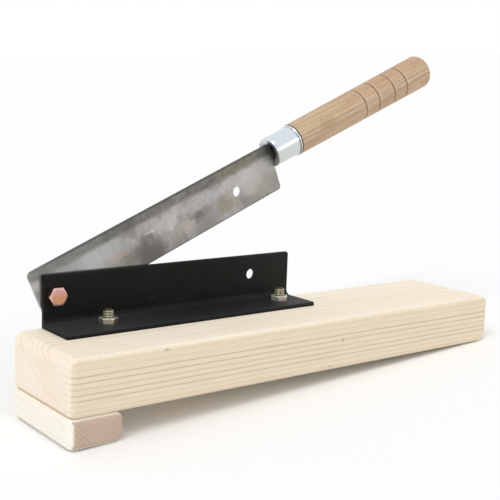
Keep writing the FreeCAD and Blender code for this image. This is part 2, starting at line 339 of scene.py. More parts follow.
@dataclass(frozen=True)
class Stain:
    """A soft-edged stain on an upright flat: its middle, half widths, colour and strength."""

    x: float
    z: float
    half_x: float
    half_z: float
    colour: Shade
    strength: float


class Recipe(Mixer):
    """Shader tree of one finish, in the millimetres of the frame that its piece was drawn in."""

    def __init__(self, name: str, place: Matrix, ground: Shade) -> None:
        """Start the material and its coordinates.

        Args:
            name: The material's name.
            place: The drawing frame's placement.
            ground: The colour that the others are laid on.
        """
        self.material = bpy.data.materials.new(name)
        super().__init__(empty_tree(self.material))
        self.coordinates = self.add("ShaderNodeTexCoord")
        location, turn, scale = place.decompose()
        mapping = [self.term(self.coordinates, "Object"), location, turn.to_euler(), scale]
        self.point = self.get("ShaderNodeMapping", mapping, vector_type="TEXTURE")
        self.x, self.y, self.z = self.parts(self.point)
        # The frame's three axes, as directions of the row frame.
        self.ways = [place.to_3x3().col[axis].normalized() for axis in range(3)]
        self.tint: Term | Shade = ground

    def cloud(self, size: float, stretch: Triple = (1.0, 1.0, 1.0), seed: float = 0.0,
              detail: float = 3.0, roughness: float = 0.5, warp: float = 0.0) -> Term:
        """Soft blotches from 0 to 1.

        Args:
            size: Blotch width in millimetres.
            stretch: How many times longer they are along each axis.
            seed: Moves the pattern, so that two clouds differ.
            detail: Octaves of finer detail.
            roughness: How strong the finer detail is.
            warp: How much the pattern is bent.

        Returns:
            The blotches' strength.
        """
        rate = [1.0 / (size * factor) for factor in stretch]
        spot = self.get("ShaderNodeVectorMath", [self.point, rate, (seed, seed, seed)],
                        operation="MULTIPLY_ADD")
        return self.noise(spot, detail, roughness, warp)

    def chance(self, number: Term) -> Term:
        """A random share from 0 to 1 for each whole number."""
        return self.get("ShaderNodeTexWhiteNoise", {"W": number}, noise_dimensions="1D")

    def ease(self, value: Term, low: float, high: float, first: float = 0.0, last: float = 1.0) -> Term:
        """Smooth step of a value.

        Args:
            value: What is read.
            low: Where the step starts.
            high: Where it ends.
            first: Result below low.
            last: Result above high.

        Returns:
            The stepped value.
        """
        return self.get("ShaderNodeMapRange", [value, low, high, first, last],
                        interpolation_type="SMOOTHSTEP")

    def fade(self, value: Term, low: float, high: float) -> Term:
        """Smooth step down from 1 to 0."""
        return self.ease(value, low, high, 1.0, 0.0)

    def mix(self, share: Term | float, first: Term | Shade, second: Term | Shade,
            blend: str = "MIX") -> Term:
        """Mix two colours.

        Args:
            share: Share of the second.
            first: One colour.
            second: The other.
            blend: How they are mixed.

        Returns:
            The mixed colour.
        """
        first, second = (each if isinstance(each, Term) else paint(each) for each in (first, second))
        return self.get("ShaderNodeMix", {0: share, 6: first, 7: second}, 2, data_type="RGBA",
                        blend_type=blend)

    def lay(self, share: Term | float, colour: Term | Shade, blend: str = "MIX") -> None:
        """Lay a colour over the tint so far, by a share."""
        self.tint = self.mix(share, self.tint, colour, blend)

    def oval(self, x: Term, z: Term, stain: Stain) -> Term:
        """Squared distance from a stain's middle, 1 at its half widths."""
        return ((x - stain.x) / stain.half_x).squared() + ((z - stain.z) / stain.half_z).squared()

    def facing(self, direction: Sequence[float]) -> Term:
        """How squarely the surface faces a row-frame direction, from -1 to 1."""
        normal = self.term(self.coordinates, "Normal")
        return self.get("ShaderNodeVectorMath", [normal, tuple(direction)], "Value",
                        operation="DOT_PRODUCT")

    def relief(self, height: Term, depth: float, under: Term | None = None) -> Term:
        """Bump from a height of 0 to 1.

        Args:
            height: The height.
            depth: Millimetres from low to high.
            under: A bump that this one lies on.

        Returns:
            The bumped normal.
        """
        return self.get("ShaderNodeBump", {"Height": height, "Distance": depth * MM, "Strength": 1.0,
                                           "Normal": under})

    def surface(self, roughness: Term | float, normal: Term, metal: Term | float = 0.0,
                gloss: float = 0.5) -> Material:
        """End the tree in a shader of the tint so far.

        Args:
            roughness: Roughness.
            normal: Bumped normal.
            metal: 1 for bare metal.
            gloss: Specular level of a surface that isn't metal.

        Returns:
            The finished material.
        """
        inputs = {"Base Color": self.tint, "Roughness": roughness, "Normal": normal,
                  "Metallic": metal, "Specular IOR Level": gloss}
        self.add("ShaderNodeOutputMaterial", [self.get("ShaderNodeBsdfPrincipled", inputs)])
        return self.material


class Rule(Mixer):
    """Geometry Nodes tree with named inputs, whose result is taken as a plain mesh."""

    def __init__(self, name: str, inputs: dict[str, str]) -> None:
        """Start the tree.

        Args:
            name: The tree's name.
            inputs: Kind of each named input, such as Float or Object.
        """
        super().__init__(bpy.data.node_groups.new(name, "GeometryNodeTree"))
        face = self.tree.interface
        face.new_socket("Geometry", in_out="OUTPUT", socket_type="NodeSocketGeometry")
        for label, kind in {**inputs, "Material": "Material"}.items():
            face.new_socket(label, in_out="INPUT", socket_type="NodeSocket" + kind)
        self.source = self.tree.nodes.new("NodeGroupInput")

    def given(self, label: str) -> Term:
        """The named input."""
        return self.term(self.source, label)

    def rod(self) -> tuple[Term, Term, Term, Term]:
        """A closed unit cylinder to be shaped, by the inputs Points Around and Bands.

        Returns:
            The mesh, the two parts of each point's outward direction, and its share of the length.
        """
        inputs = {"Vertices": self.given("Points Around"), "Side Segments": self.given("Bands"),
                  "Fill Segments": 1, "Radius": 1.0, "Depth": 1.0}
        rod = self.get("GeometryNodeMeshCylinder", inputs, fill_type="NGON")
        out_x, out_y, height = self.parts(self.get("GeometryNodeInputPosition"))
        return rod, out_x, out_y, height + 0.5

    def choose(self, test: Term, otherwise: Term | float, chosen: Term | float) -> Term:
        """chosen where the test is 1, otherwise the other."""
        return self.get("GeometryNodeSwitch", [test, otherwise, chosen], input_type="FLOAT")

    def place_points(self, mesh: Term, position: Term) -> Term:
        """Move a mesh's points."""
        return self.get("GeometryNodeSetPosition", {"Geometry": mesh, "Position": position})

    def close(self, geometry: Term) -> None:
        """End the tree in realized, dressed geometry."""
        inputs = {"Geometry": self.get("GeometryNodeRealizeInstances", [geometry]),
                  "Material": self.given("Material")}
        self.add("NodeGroupOutput", [self.get("GeometryNodeSetMaterial", inputs)])

    def make(self, values: dict[str, Any], start: Mesh | None = None) -> Mesh:
        """Run the tree.

        Args:
            values: Value of each named input.
            start: Mesh that the tree starts from, if it reads one.

        Returns:
            The plain mesh.
        """
        sockets = {item.name: item.identifier for item in self.tree.interface.items_tree
                   if item.in_out == "INPUT"}
        carrier = in_scene("rule_carrier", start or bpy.data.meshes.new("nothing"))
        modifier = carrier.modifiers.new("rule", "NODES")
        modifier.node_group = self.tree
        for label, value in values.items():
            modifier[sockets[label]] = value
        return evaluated(carrier)


# ---- Mesh work, in millimetres ----

def in_scene(name: str, data: Any) -> bpy.types.Object:
    """Put new data in the scene as an object.

    Args:
        name: The object's name.
        data: Its mesh, light or camera.

    Returns:
        The object.
    """
    holder = bpy.data.objects.new(name, data)
    bpy.context.scene.collection.objects.link(holder)
    return holder


def evaluated(carrier: bpy.types.Object) -> Mesh:
    """Take a carrier's mesh as its modifiers leave it, and remove the carrier.

    Args:
        carrier: The object that holds the mesh and its modifiers.

    Returns:
        The plain mesh.
    """
    graph = bpy.context.evaluated_depsgraph_get()
    mesh = bpy.data.meshes.new_from_object(carrier.evaluated_get(graph))
    bpy.data.objects.remove(carrier)
    return mesh


def plain_mesh(form: bmesh.types.BMesh) -> Mesh:
    """Weld a form, turn its faces outwards and hand it over as a mesh.

    Args:
        form: The form, which is freed.

    Returns:
        The mesh.
    """
    bmesh.ops.remove_doubles(form, verts=form.verts, dist=WELD)
    bmesh.ops.dissolve_degenerate(form, edges=form.edges, dist=WELD)
    bmesh.ops.recalc_face_normals(form, faces=form.faces)
    mesh = bpy.data.meshes.new("part")
    form.to_mesh(mesh)
    form.free()
    return mesh


def through_modifiers(mesh: Mesh, steps: Sequence[tuple[str, dict[str, Any]]]) -> Mesh:
    """Run a mesh through modifiers.

    Args:
        mesh: The mesh.
        steps: Kind and settings of each modifier.

    Returns:
        The plain result.
    """
    carrier = in_scene("bench", mesh)
    for kind, settings in steps:
        modifier = carrier.modifiers.new(kind.title(), kind)
        for key, value in settings.items():
            setattr(modifier, key, value)
    return evaluated(carrier)


def worked(mesh: Mesh, tools: Sequence[Mesh], cut: Cut = Cut.AWAY) -> Mesh:
    """Cut a solid with others, or keep what it shares with them.

    Args:
        mesh: The solid.
        tools: The other solids.
        cut: What is done with them.

    Returns:
        The worked solid.
    """
    holders = [in_scene("tool", tool) for tool in tools]
    steps = [("BOOLEAN", {"operation": cut.value, "solver": "EXACT", "object": holder})
             for holder in holders]
    form = bmesh.new()
    form.from_mesh(through_modifiers(mesh, steps))
    for holder in holders:
        bpy.data.objects.remove(holder)
    return plain_mesh(form)


def rounded(mesh: Mesh, width: float, segments: int, **settings: Any) -> Mesh:
    """Round a mesh's edges by a bevel with the given limits."""
    return through_modifiers(mesh, [("BEVEL", {"width": width, "segments": segments, **settings})])


def softened(mesh: Mesh, width: float, angle: float = 35.0) -> Mesh:
    """Take a mesh's arrises sharper than an angle off by a small round."""
    return rounded(mesh, width, segments=2, limit_method="ANGLE", angle_limit=math.radians(angle),
                   use_clamp_overlap=True)


def moved(mesh: Mesh, place: Matrix) -> Mesh:
    """Move a mesh by a placement."""
    mesh.transform(place)
    return mesh


def rounded_outline(corners: Sequence[tuple[Vector, float]], steps: int = 8) -> list[Vector]:
    """Points round a closed outline.

    Args:
        corners: Each corner and its radius; 0 leaves it sharp.
        steps: Chords in each round.

    Returns:
        The points.
    """
    points = []
    for index, (corner, radius) in enumerate(corners):
        if radius <= 0.0:
            points.append(corner)
            continue
        back = (corners[index - 1][0] - corner).normalized()
        ahead = (corners[(index + 1) % len(corners)][0] - corner).normalized()
        half_angle = back.angle(ahead) / 2
        centre = corner + (back + ahead).normalized() * (radius / math.sin(half_angle))
        trim = radius / math.tan(half_angle)
        start = corner + back * trim - centre
        stop = corner + ahead * trim - centre
        points += [centre + start.slerp(stop, step / steps) * radius for step in range(steps + 1)]
    return points


def prism(plane: Plane, corners: Sequence[Triple], level: float, push: float) -> Mesh:
    """Solid from a flat closed outline, pushed along its plane's depth.

    Args:
        plane: The outline's plane.
        corners: Both coordinates of each corner, and the radius of its round.
        level: Depth at which the outline lies.
        push: How far it is pushed.

    Returns:
        The solid.
    """
    across, up, deep = plane.value
    spots = []
    for first, second, radius in corners:
        spot = Vector()
        spot[across], spot[up], spot[deep] = first, second, level
        spots.append((spot, radius))
    way = Vector()
    way[deep] = push
    form = bmesh.new()
    face = form.faces.new([form.verts.new(point) for point in rounded_outline(spots)])
    grown = bmesh.ops.extrude_face_region(form, geom=[face])["geom"]
    bmesh.ops.translate(form, verts=[v for v in grown if isinstance(v, bmesh.types.BMVert)], vec=way)
    return plain_mesh(form)


def turned(profile: Sequence[Pair], steps: int = 64, loop: bool = False) -> Mesh:
    """Solid of revolution about Z.

    Args:
        profile: Height and radius of each point; it starts and ends on the axis unless loop is set.
        steps: Points round the axis.
        loop: Whether the profile closes on itself, as a ring's does.

    Returns:
        The closed solid.
    """
    form = bmesh.new()
    angles = [2 * math.pi * step / steps for step in range(steps)]
    rings = [[form.verts.new((0.0, 0.0, height))] * steps if radius < WELD else
             [form.verts.new((radius * math.cos(a), radius * math.sin(a), height)) for a in angles]
             for height, radius in profile]
    for low, high in zip(rings, rings[1:] + rings[:1] if loop else rings[1:]):
        for step in range(steps):
            following = (step + 1) % steps
            face = list(dict.fromkeys([low[step], low[following], high[following], high[step]]))
            if len(face) > 2:
                form.faces.new(face)
    return plain_mesh(form)


def pin(radius: float, base: Sequence[float], direction: Vector, length: float) -> Mesh:
    """Plain round pin, used as a drill."""
    profile = [(0.0, 0.0), (0.0, radius), (length, radius), (length, 0.0)]
    return moved(turned(profile, steps=48), stood(base, direction))


def arc(centre: Pair, radius: float, start: float, stop: float, steps: int) -> list[Pair]:
    """Profile points along an arc; degrees run from the radial direction towards the axis's far end."""
    angles = [math.radians(start + (stop - start) * step / steps) for step in range(steps + 1)]
    return [(centre[0] + radius * math.sin(a), centre[1] + radius * math.cos(a)) for a in angles]


def sanded_block(size: Triple, along: Triple, others: dict[tuple[int, int, int], float]) -> Mesh:
    """Block with one corner at the origin and its own round on each edge.

    Args:
        size: Length, width and height.
        along: Radius of the edges that run along each axis.
        others: Radius of the edges that differ; an edge is named by its middle, 0 for the low side,
            1 for the middle and 2 for the high side along each axis.

    Returns:
        The rounded block.
    """
    form = bmesh.new()
    bmesh.ops.create_cube(form, size=1.0)
    weight = form.edges.layers.float.new("bevel_weight_edge")
    widest = max(*along, *others.values())
    for edge in form.edges:
        middle = (edge.verts[0].co + edge.verts[1].co) / 2
        name = tuple(round(part * 2) + 1 for part in middle)
        edge[weight] = others.get(name, along[name.index(1)]) / widest
    for vert in form.verts:
        vert.co = Vector((vert.co[axis] + 0.5) * size[axis] for axis in range(3))
    return rounded(plain_mesh(form), widest, segments=7, limit_method="WEIGHT", use_clamp_overlap=False)


# ---- Finishes ----

@dataclass(frozen=True)
class Pine:
    """Planed, unfinished pale pine, sawn well away from the tree's heart."""

    name: str
    heart: Pair
    outer_radius: float
    first_ring: float
    ring_growth: float
    side: Shade
    top: Shade
    end: Shade
    line: Shade
    side_contrast: float
    top_contrast: float
    end_contrast: float
    seed: float
    lean: float = 0.0037
    grain: Grain = Grain.LENGTHWISE
    end_from: float = 0.45
    end_full: float = 0.80
    saw_marks: float = 0.12
    lit_corner_limit: float = 2.0
    knocks: tuple[Stain, ...] = ()

    def dress(self, place: Matrix) -> Material:
        """Mix the material.

        Args:
            place: The placement of the frame that the piece is drawn in.

        Returns:
            The material.
        """
        mix = Recipe(self.name, place @ spin(self.grain.value), self.side)
        lengthwise, sideways, upward = (mix.facing(way) for way in mix.ways)
        end = mix.ease(lengthwise.size(), self.end_from, self.end_full)
        # Faces turned sideways past this limit keep the side colour instead of the end colour: painted light
        # on the foot's lit corner round.
        end = end * mix.fade(sideways, self.lit_corner_limit - 0.15, self.lit_corner_limit + 0.15)
        top = mix.ease(upward, 0.35, 0.95)

        # Growth lines: depth is measured inwards from the bark.
        drift = mix.cloud(70.0, (7.0, 1.0, 1.0), self.seed, 1.0).swing(1.6)
        waver = mix.cloud(7.0, (18.0, 1.0, 1.0), self.seed + 7.0, 2.0).swing(0.9)
        across = mix.y - self.heart[0]
        rise = mix.z + mix.x * self.lean - self.heart[1]
        from_heart = (across.squared() + rise.squared()).root()
        depth = from_heart * -1.0 + self.outer_radius + drift + waver
        count = depth / (depth * self.ring_growth + self.first_ring).at_least(1.2)
        share = count.fraction()
        late = mix.fade(share, 0.02, 0.42) * mix.ease(share, 0.0, 0.045) * mix.ease(depth, -0.4, 0.0)
        vivid = (mix.chance(count.whole()) * 0.3 + 0.7) * mix.ease(count, 6.3, 6.9, 1.0, 0.30)
        vivid = vivid * mix.ease(count, 1.5, 1.9, 0.5, 1.0) + mix.fade(count, 0.40, 0.60) * end * 0.8
        contrast = top * (self.top_contrast - self.side_contrast) + self.side_contrast
        contrast = end * (contrast * -1.0 + self.end_contrast) + contrast

        # Colours, from the ground up.
        fibre = mix.cloud(0.8, (60.0, 1.0, 1.0), self.seed + 3.0, 3.0, 0.6)
        pores = mix.ease(mix.cloud(0.45, (26.0, 1.0, 1.0), self.seed + 5.0, 1.0), 0.66, 0.78)
        blush = mix.ease(mix.cloud(46.0, (3.5, 1.0, 1.0), self.seed + 1.0, 2.0), 0.40, 0.75)
        saw = mix.cloud(1.5, (0.2, 0.55, 2.2), self.seed + 9.0, 3.0, 0.6)
        smudge = mix.ease(mix.cloud(2.6, (2.4, 1.0, 1.0), self.seed + 13.0, 2.0), 0.745, 0.80)
        # Top and end colours by facing: besides the end grain's own tone, the brightness they add or take
        # away is painted light and shade.
        mix.lay(top, self.top)
        mix.lay(end, self.end)
        mix.lay(blush * 0.40, mix.mix(0.5, mix.tint, (250, 214, 186)))
        mix.lay(late * vivid * contrast, self.line)
        mix.lay(1.0, mix.mix(mix.ease(fibre, 0.30, 0.70), (246, 244, 241), (255, 255, 255)), "MULTIPLY")
        mix.lay(pores * 0.18, (190, 158, 120))
        mix.lay(mix.ease(saw, 0.44, 0.70) * end * self.saw_marks, (178, 150, 128))
        mix.lay(smudge * 0.30, (140, 138, 130))
        for knock in self.knocks:
            reach = mix.oval(mix.x, mix.z, knock) + (mix.y / 6.0).squared() + saw.swing(2.0)
            mix.lay(mix.fade(reach, 0.1, 1.3) * knock.strength, knock.colour)
        relief = mix.relief(late * -0.5 + fibre + pores * -0.8, 0.045)
        return mix.surface(fibre * 0.18 + 0.55, mix.relief(saw * end, 0.05, relief), gloss=0.30)


@dataclass(frozen=True)
class Oak:
    """Turned light oak, streaked along its length and darkened in its grooves."""

    name: str
    axis_height: float
    grooves: tuple[float, ...]
    joint: float
    spot: Stain = Stain(30.5, 2.6, 11.0, 4.0, (150, 122, 82), 0.38)

    def dress(self, place: Matrix) -> Material:
        """Mix the material.

        Args:
            place: The placement of the frame that the piece is drawn in.

        Returns:
            The material.
        """
        mix = Recipe(self.name, place, (186, 155, 123))
        height = mix.z - self.axis_height
        bend = mix.cloud(70.0, (3.0, 1.0, 1.0), 2.0, 1.0).swing(9.0)
        waver = mix.cloud(6.0, (12.0, 1.0, 1.0), 4.0, 2.0).swing(1.2)
        count = (mix.y * 0.80 + height * 0.45 + bend + waver) / 2.3
        band = mix.ease(count.fraction(), 0.25, 0.95) * (mix.chance(count.whole()) * 0.6 + 0.4)
        streak = mix.cloud(1.1, (45.0, 1.0, 1.0), 8.0, 4.0, 0.62)
        wash = mix.cloud(26.0, (2.6, 1.0, 1.0), 5.0, 3.0)
        pores = mix.ease(mix.cloud(0.42, (17.0, 1.0, 1.0), 1.0, 2.0, 0.6), 0.60, 0.72)
        mix.lay(mix.ease(streak, 0.32, 0.68), (215, 190, 160))
        mix.lay(mix.ease(wash, 0.35, 0.70) * 0.45, (184, 146, 116))
        mix.lay(band * 0.30, (136, 100, 70))
        mix.lay(pores * 0.55, (138, 100, 68))

        # Soot in the grooves, pale lips beside them that are partly pale burrs and partly a painted highlight
        # on the rims, painted shade in the joint with the ferrule, and one stain.
        nearest = (mix.x - self.grooves[0]).size()
        for groove in self.grooves[1:]:
            nearest = nearest.at_most((mix.x - groove).size())
        soot = mix.cloud(5.0, seed=6.0) * 0.5 + 0.42
        painted_crevice_shade = mix.fade(mix.x, self.joint + 0.2, self.joint + 1.0)
        spot = mix.oval(mix.x - self.joint, height, self.spot) + wash.swing(1.5)
        front = mix.ease(mix.y, 0.0, -4.0)
        mix.lay(mix.fade(nearest, 0.25, 1.35) * soot, (116, 80, 50))
        mix.lay(mix.fade((nearest - 1.9).size(), 0.1, 0.7) * 0.28, (238, 222, 196))
        mix.lay(painted_crevice_shade * 0.7, (84, 60, 42))
        mix.lay(mix.fade(spot, 0.1, 1.3) * front * self.spot.strength, self.spot.colour)
        relief = mix.relief(streak + pores * -1.2 + band * -0.4, 0.06)
        return mix.surface(streak * -0.12 + 0.60, relief, gloss=0.4)


@dataclass(frozen=True)
class BlackSteel:
    """Rolled steel under matt black, a little scuffed, with dust and painted light on its upward-facing lying
    leg.
    """

    name: str

    def dress(self, place: Matrix) -> Material:
        """Mix the material.

        Args:
            place: The placement of the frame that the piece is drawn in.

        Returns:
            The material.
        """
        mix = Recipe(self.name, place, (17, 17, 15))
        cloud = mix.cloud(22.0, (2.5, 1.0, 1.0), 1.0, 4.0, 0.6)
        lying = mix.ease(mix.facing(mix.ways[2]), 0.6, 0.95)
        dust = mix.ease(mix.cloud(0.7, (2.5, 1.0, 1.0), 3.0, 2.0, 0.7), 0.67, 0.78)
        scuff = mix.ease(mix.cloud(1.3, (14.0, 1.0, 3.0), 9.0, 3.0, 0.7), 0.64, 0.75)
        mix.lay(mix.ease(cloud, 0.30, 0.72), (24, 24, 21))
        # Painted light: the lying leg lighter where it faces up, more so towards the pivot end. The whole
        # angle also turns lighter towards the handle end.
        mix.lay(lying * 0.8, (33, 35, 36))
        mix.lay(mix.fade(mix.x, 40.0, 150.0) * lying * 0.60, (60, 61, 61))
        mix.lay(mix.ease(mix.x, 160.0, 250.0) * 0.30, (52, 52, 50))
        mix.lay(dust * lying * 0.45, (112, 112, 110))
        mix.lay(scuff * 0.16, (84, 84, 82))
        skin = mix.cloud(0.9, seed=12.0, roughness=0.6)
        return mix.surface(cloud * 0.20 + 0.42, mix.relief(skin, 0.03, mix.relief(cloud, 0.10)), gloss=0.12)


@dataclass(frozen=True)
class BladeSteel:
    """Ground tool steel, stained and cloudy, with darker forging skin left along the spine."""

    name: str
    spine: float
    edge: float
    skin_width: float
    stains: tuple[Stain, ...]
    rear_shift: Pair = (34.0, -7.0)
    rear_strength: float = 0.7
    olive_middle: float = 184.0
    dark_heel: Pair = (207.0, 222.0)

    def dress(self, place: Matrix) -> Material:
        """Mix the material.

        Args:
            place: The placement of the frame that the piece is drawn in.

        Returns:
            The material.
        """
        mix = Recipe(self.name, place, (150, 147, 142))
        haze = mix.cloud(26.0, (1.0, 1.0, 1.5), 2.0, 3.0, 0.55, 0.2)
        blot = mix.cloud(6.0, (1.0, 1.0, 1.9), 15.0, 4.0, 0.6, 0.25)
        low = mix.fade(mix.z, -14.0, -3.0) * mix.ease(mix.x, 120.0, 160.0, 1.0, 0.2)
        mix.lay(mix.ease(haze, 0.34, 0.66), (178, 176, 171))
        mix.lay(mix.ease(blot, 0.46, 0.72) * 0.34, (126, 122, 116))
        mix.lay(mix.fade(mix.x, 20.0, 95.0) * 0.60, (170, 173, 175))
        mix.lay(low * 0.35, (124, 121, 116))

        # Stains, displaced and weaker on the rear face.
        rear = mix.ease(mix.facing(ALONG_Y), 0.3, 0.6)
        run_x = mix.x + mix.cloud(9.0, (1.0, 1.0, 1.4), 71.0, 4.0, 0.6).swing(22.0)
        run_z = mix.z + mix.cloud(9.0, (1.4, 1.0, 1.0), 83.0, 4.0, 0.6).swing(18.0)
        run_x, run_z = run_x + rear * self.rear_shift[0], run_z + rear * self.rear_shift[1]
        kept = rear * (self.rear_strength - 1.0) + 1.0
        for stain in self.stains:
            share = mix.ease(mix.oval(run_x, run_z, stain), 0.0, 1.9, stain.strength, 0.0)
            mix.lay(share * kept, stain.colour)

        # Forging skin along the spine.
        ragged = mix.cloud(19.0, (1.2, 1.0, 1.0), 31.0, 4.0, 0.55).swing(4.5)
        below_spine = mix.z * -1.0 + self.spine
        skin = mix.fade(below_spine + ragged, self.skin_width - 3.0, self.skin_width + 1.8)
        scale = mix.cloud(5.0, (1.6, 1.0, 1.0), 41.0, 4.0, 0.65)
        olive = mix.fade((mix.x - self.olive_middle).size(), 8.0, 34.0) * mix.ease(scale, 0.35, 0.6)
        dark = mix.mix(mix.ease(scale, 0.30, 0.72), (102, 100, 96), (132, 130, 126))
        dark = mix.mix(mix.ease(mix.x, 0.0, 60.0, 0.6, 0.0), dark, (144, 143, 141))
        dark = mix.mix(olive * 0.65, dark, (134, 133, 102))
        dark = mix.mix(mix.ease(mix.x, *self.dark_heel) * 0.7, dark, (78, 76, 72))
        # Painted shade on the spine's top face and along its upper rim, a darker line along the cutting edge,
        # grinding lines and pits.
        rim = mix.fade(below_spine, 0.3, 1.2) * mix.ease(mix.x, -8.0, 12.0, 0.35, 1.0)
        grind = mix.cloud(0.5, (1.0, 1.0, 16.0), 51.0, 2.0, 0.6)
        pits = mix.ease(mix.cloud(0.8, seed=61.0, detail=2.0), 0.68, 0.80)
        mix.lay(skin * 0.88, dark)
        mix.lay(rim * 0.62, (60, 59, 56))
        mix.lay(mix.fade(mix.z, self.edge + 0.5, self.edge + 1.5) * 0.55, (96, 92, 88))
        mix.lay(mix.ease(grind, 0.35, 0.75) * 0.22, (98, 95, 92))
        mix.lay(pits * 0.30, (70, 62, 55))
        relief = mix.relief(haze + blot * 0.5, 0.20)
        relief = mix.relief(grind + scale * skin * 2.0 + pits * -1.0, 0.03, relief)
        return mix.surface(blot * 0.20 + skin * 0.12 + 0.30, relief, metal=1.0)


@dataclass(frozen=True)
class PaintedFacetLight:
    """Painted light and shade on the facets of one fastener that face one way."""

    x: float
    toward: Triple
    colour: Shade
    strength: float = 0.85
    reach: float = 9.0


@dataclass(frozen=True)
class Plating:
    """Thin metal plating, clouded, in a second shade where it is thicker, with a painted highlight on its
    chamfers and painted light and shade on single facets.
    """

    name: str
    main: Shade
    second: Shade
    dull: Shade
    shade_axis: int
    shade_from: float
    shade_to: float
    roughness: float
    chamfer_highlight: Shade = (232, 231, 226)
    face: Triple = (0.0, 0.0, 1.0)
    painted_facet_light: tuple[PaintedFacetLight, ...] = ()
    studs: tuple[Pair, ...] = ()
    metal: float = 1.0
    side_metal: float = 1.0

    def dress(self, place: Matrix) -> Material:
        """Mix the material.

        Args:
            place: The placement of the frame that the piece is drawn in.

        Returns:
            The material.
        """
        mix = Recipe(self.name, place, self.main)
        along = (mix.x, mix.y, mix.z)[self.shade_axis]
        cloud = mix.cloud(3.5, seed=4.0, detail=4.0, roughness=0.6)
        mix.lay(mix.ease(along + cloud.swing(3.0), self.shade_from, self.shade_to), self.second)
        mix.lay(mix.ease(cloud, 0.50, 0.75) * 0.35, self.dull)
        # Painted light and shade: single facets near one fastener take their own colour by the way they face.
        for patch in self.painted_facet_light:
            facet = mix.ease(mix.facing(Vector(patch.toward).normalized()), 0.86, 0.97)
            near = mix.fade((mix.x - patch.x).size(), patch.reach, patch.reach + 1.0)
            mix.lay(facet * near * patch.strength, patch.colour)
        # Painted highlight on the chamfers round the outward face.
        outward = mix.facing(self.face)
        mix.lay(mix.ease(outward, 0.30, 0.62) * mix.fade(outward, 0.93, 0.98) * 0.80, self.chamfer_highlight)
        # Each stud lighter olive overall, with painted shade in its thread valleys.
        for x, y in self.studs:
            out = ((mix.x - x).squared() + (mix.y - y).squared()).root()
            mix.lay(mix.ease(out, 4.05, 4.20, 0.5, 0.0), (200, 190, 134))
            mix.lay(mix.fade(out, 3.40, 3.85) * 0.95, (60, 56, 38))
        mix.lay(mix.ease(mix.cloud(0.5, seed=9.0, detail=2.0), 0.66, 0.78) * 0.30, self.dull)
        brush = mix.cloud(0.25, (4.0, 1.0, 4.0), 14.0, 2.0)
        metal = mix.ease(outward, 0.15, 0.30, self.side_metal, self.metal)
        return mix.surface(cloud * 0.14 + self.roughness, mix.relief(brush + cloud, 0.012), metal)


@dataclass(frozen=True)
class FerruleZinc:
    """Bright zinc on the pressed ferrule, with a painted reflection lighter on its upper part, and painted
    shade in its dish, in its neck line and beside its rolled rim.
    """

    name: str
    axis_height: float
    neck: float
    rear: float

    def dress(self, place: Matrix) -> Material:
        """Mix the material.

        Args:
            place: The placement of the frame that the piece is drawn in.

        Returns:
            The material.
        """
        mix = Recipe(self.name, place, (209, 213, 210))
        cloud = mix.cloud(8.0, (2.0, 1.0, 1.0), 4.0, 2.0)
        height = mix.z - self.axis_height
        dish = mix.ease(mix.facing(-mix.ways[0]), 0.50, 0.92)
        out = (mix.y.squared() + height.squared()).root()
        painted_dish_shade = mix.ease(out + cloud.swing(2.0), 6.0, 10.5, 0.97, 0.30) * mix.fade(height, 5.5, 9.0)
        painted_crevice_shade = mix.fade((mix.x - self.neck).size(), 0.15, 0.40)
        painted_crevice_shade = painted_crevice_shade.at_least(mix.ease(mix.x, self.rear - 0.5, self.rear - 0.1))
        scratch = mix.cloud(0.3, (1.0, 6.0, 6.0), 14.0, 2.0)
        # Painted reflection: the upper part lighter and bluer. Painted shade: dark in the dish beside the
        # blade, and along the neck line and the rear rim.
        mix.lay(mix.ease(height + cloud.swing(3.0), -1.0, 6.0), (217, 225, 231))
        mix.lay(dish * painted_dish_shade, (38, 41, 42))
        mix.lay(painted_crevice_shade * 0.8, (70, 74, 78))
        mix.lay(mix.ease(scratch, 0.62, 0.75) * 0.12, (150, 156, 160))
        return mix.surface(cloud * 0.08 + dish * 0.25 + 0.13, mix.relief(scratch + cloud, 0.006), metal=1.0)


@dataclass(frozen=True)
class Ticket:
    """What a finished piece is called, what carries it and which nodes it stands for."""

    name: str
    body: Body
    slot: str
    nodes: tuple[str, ...]


def deliver(mesh: Mesh, place: Matrix, ticket: Ticket, material: Material, crease: float = 32.0) -> None:
    """Put a finished mesh in its place on its body.

    Args:
        mesh: The piece, in millimetres of its drawing frame.
        place: That frame's placement.
        ticket: The piece's name, body, slot and nodes.
        material: Its finish.
        crease: Degrees past which an edge shows sharp.
    """
    mesh.transform(place)
    mesh.shade_smooth()
    mesh.set_sharp_from_angle(angle=math.radians(crease))
    settings = {"keep_sharp": True, "weight": 60, "mode": "FACE_AREA_WITH_ANGLE"}
    mesh = through_modifiers(mesh, [("WEIGHTED_NORMAL", settings)])
    mesh.name = ticket.name
    mesh.materials.clear()
    mesh.materials.append(material)
    piece = in_scene(ticket.name, mesh)
    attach(piece, ticket.body.value)
    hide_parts(*ticket.nodes)
    LOG.info("%s: %d faces on %s, for %s", ticket.name, len(mesh.polygons), ticket.body.value,
             ", ".join(ticket.nodes))


# ---- Board and foot ----

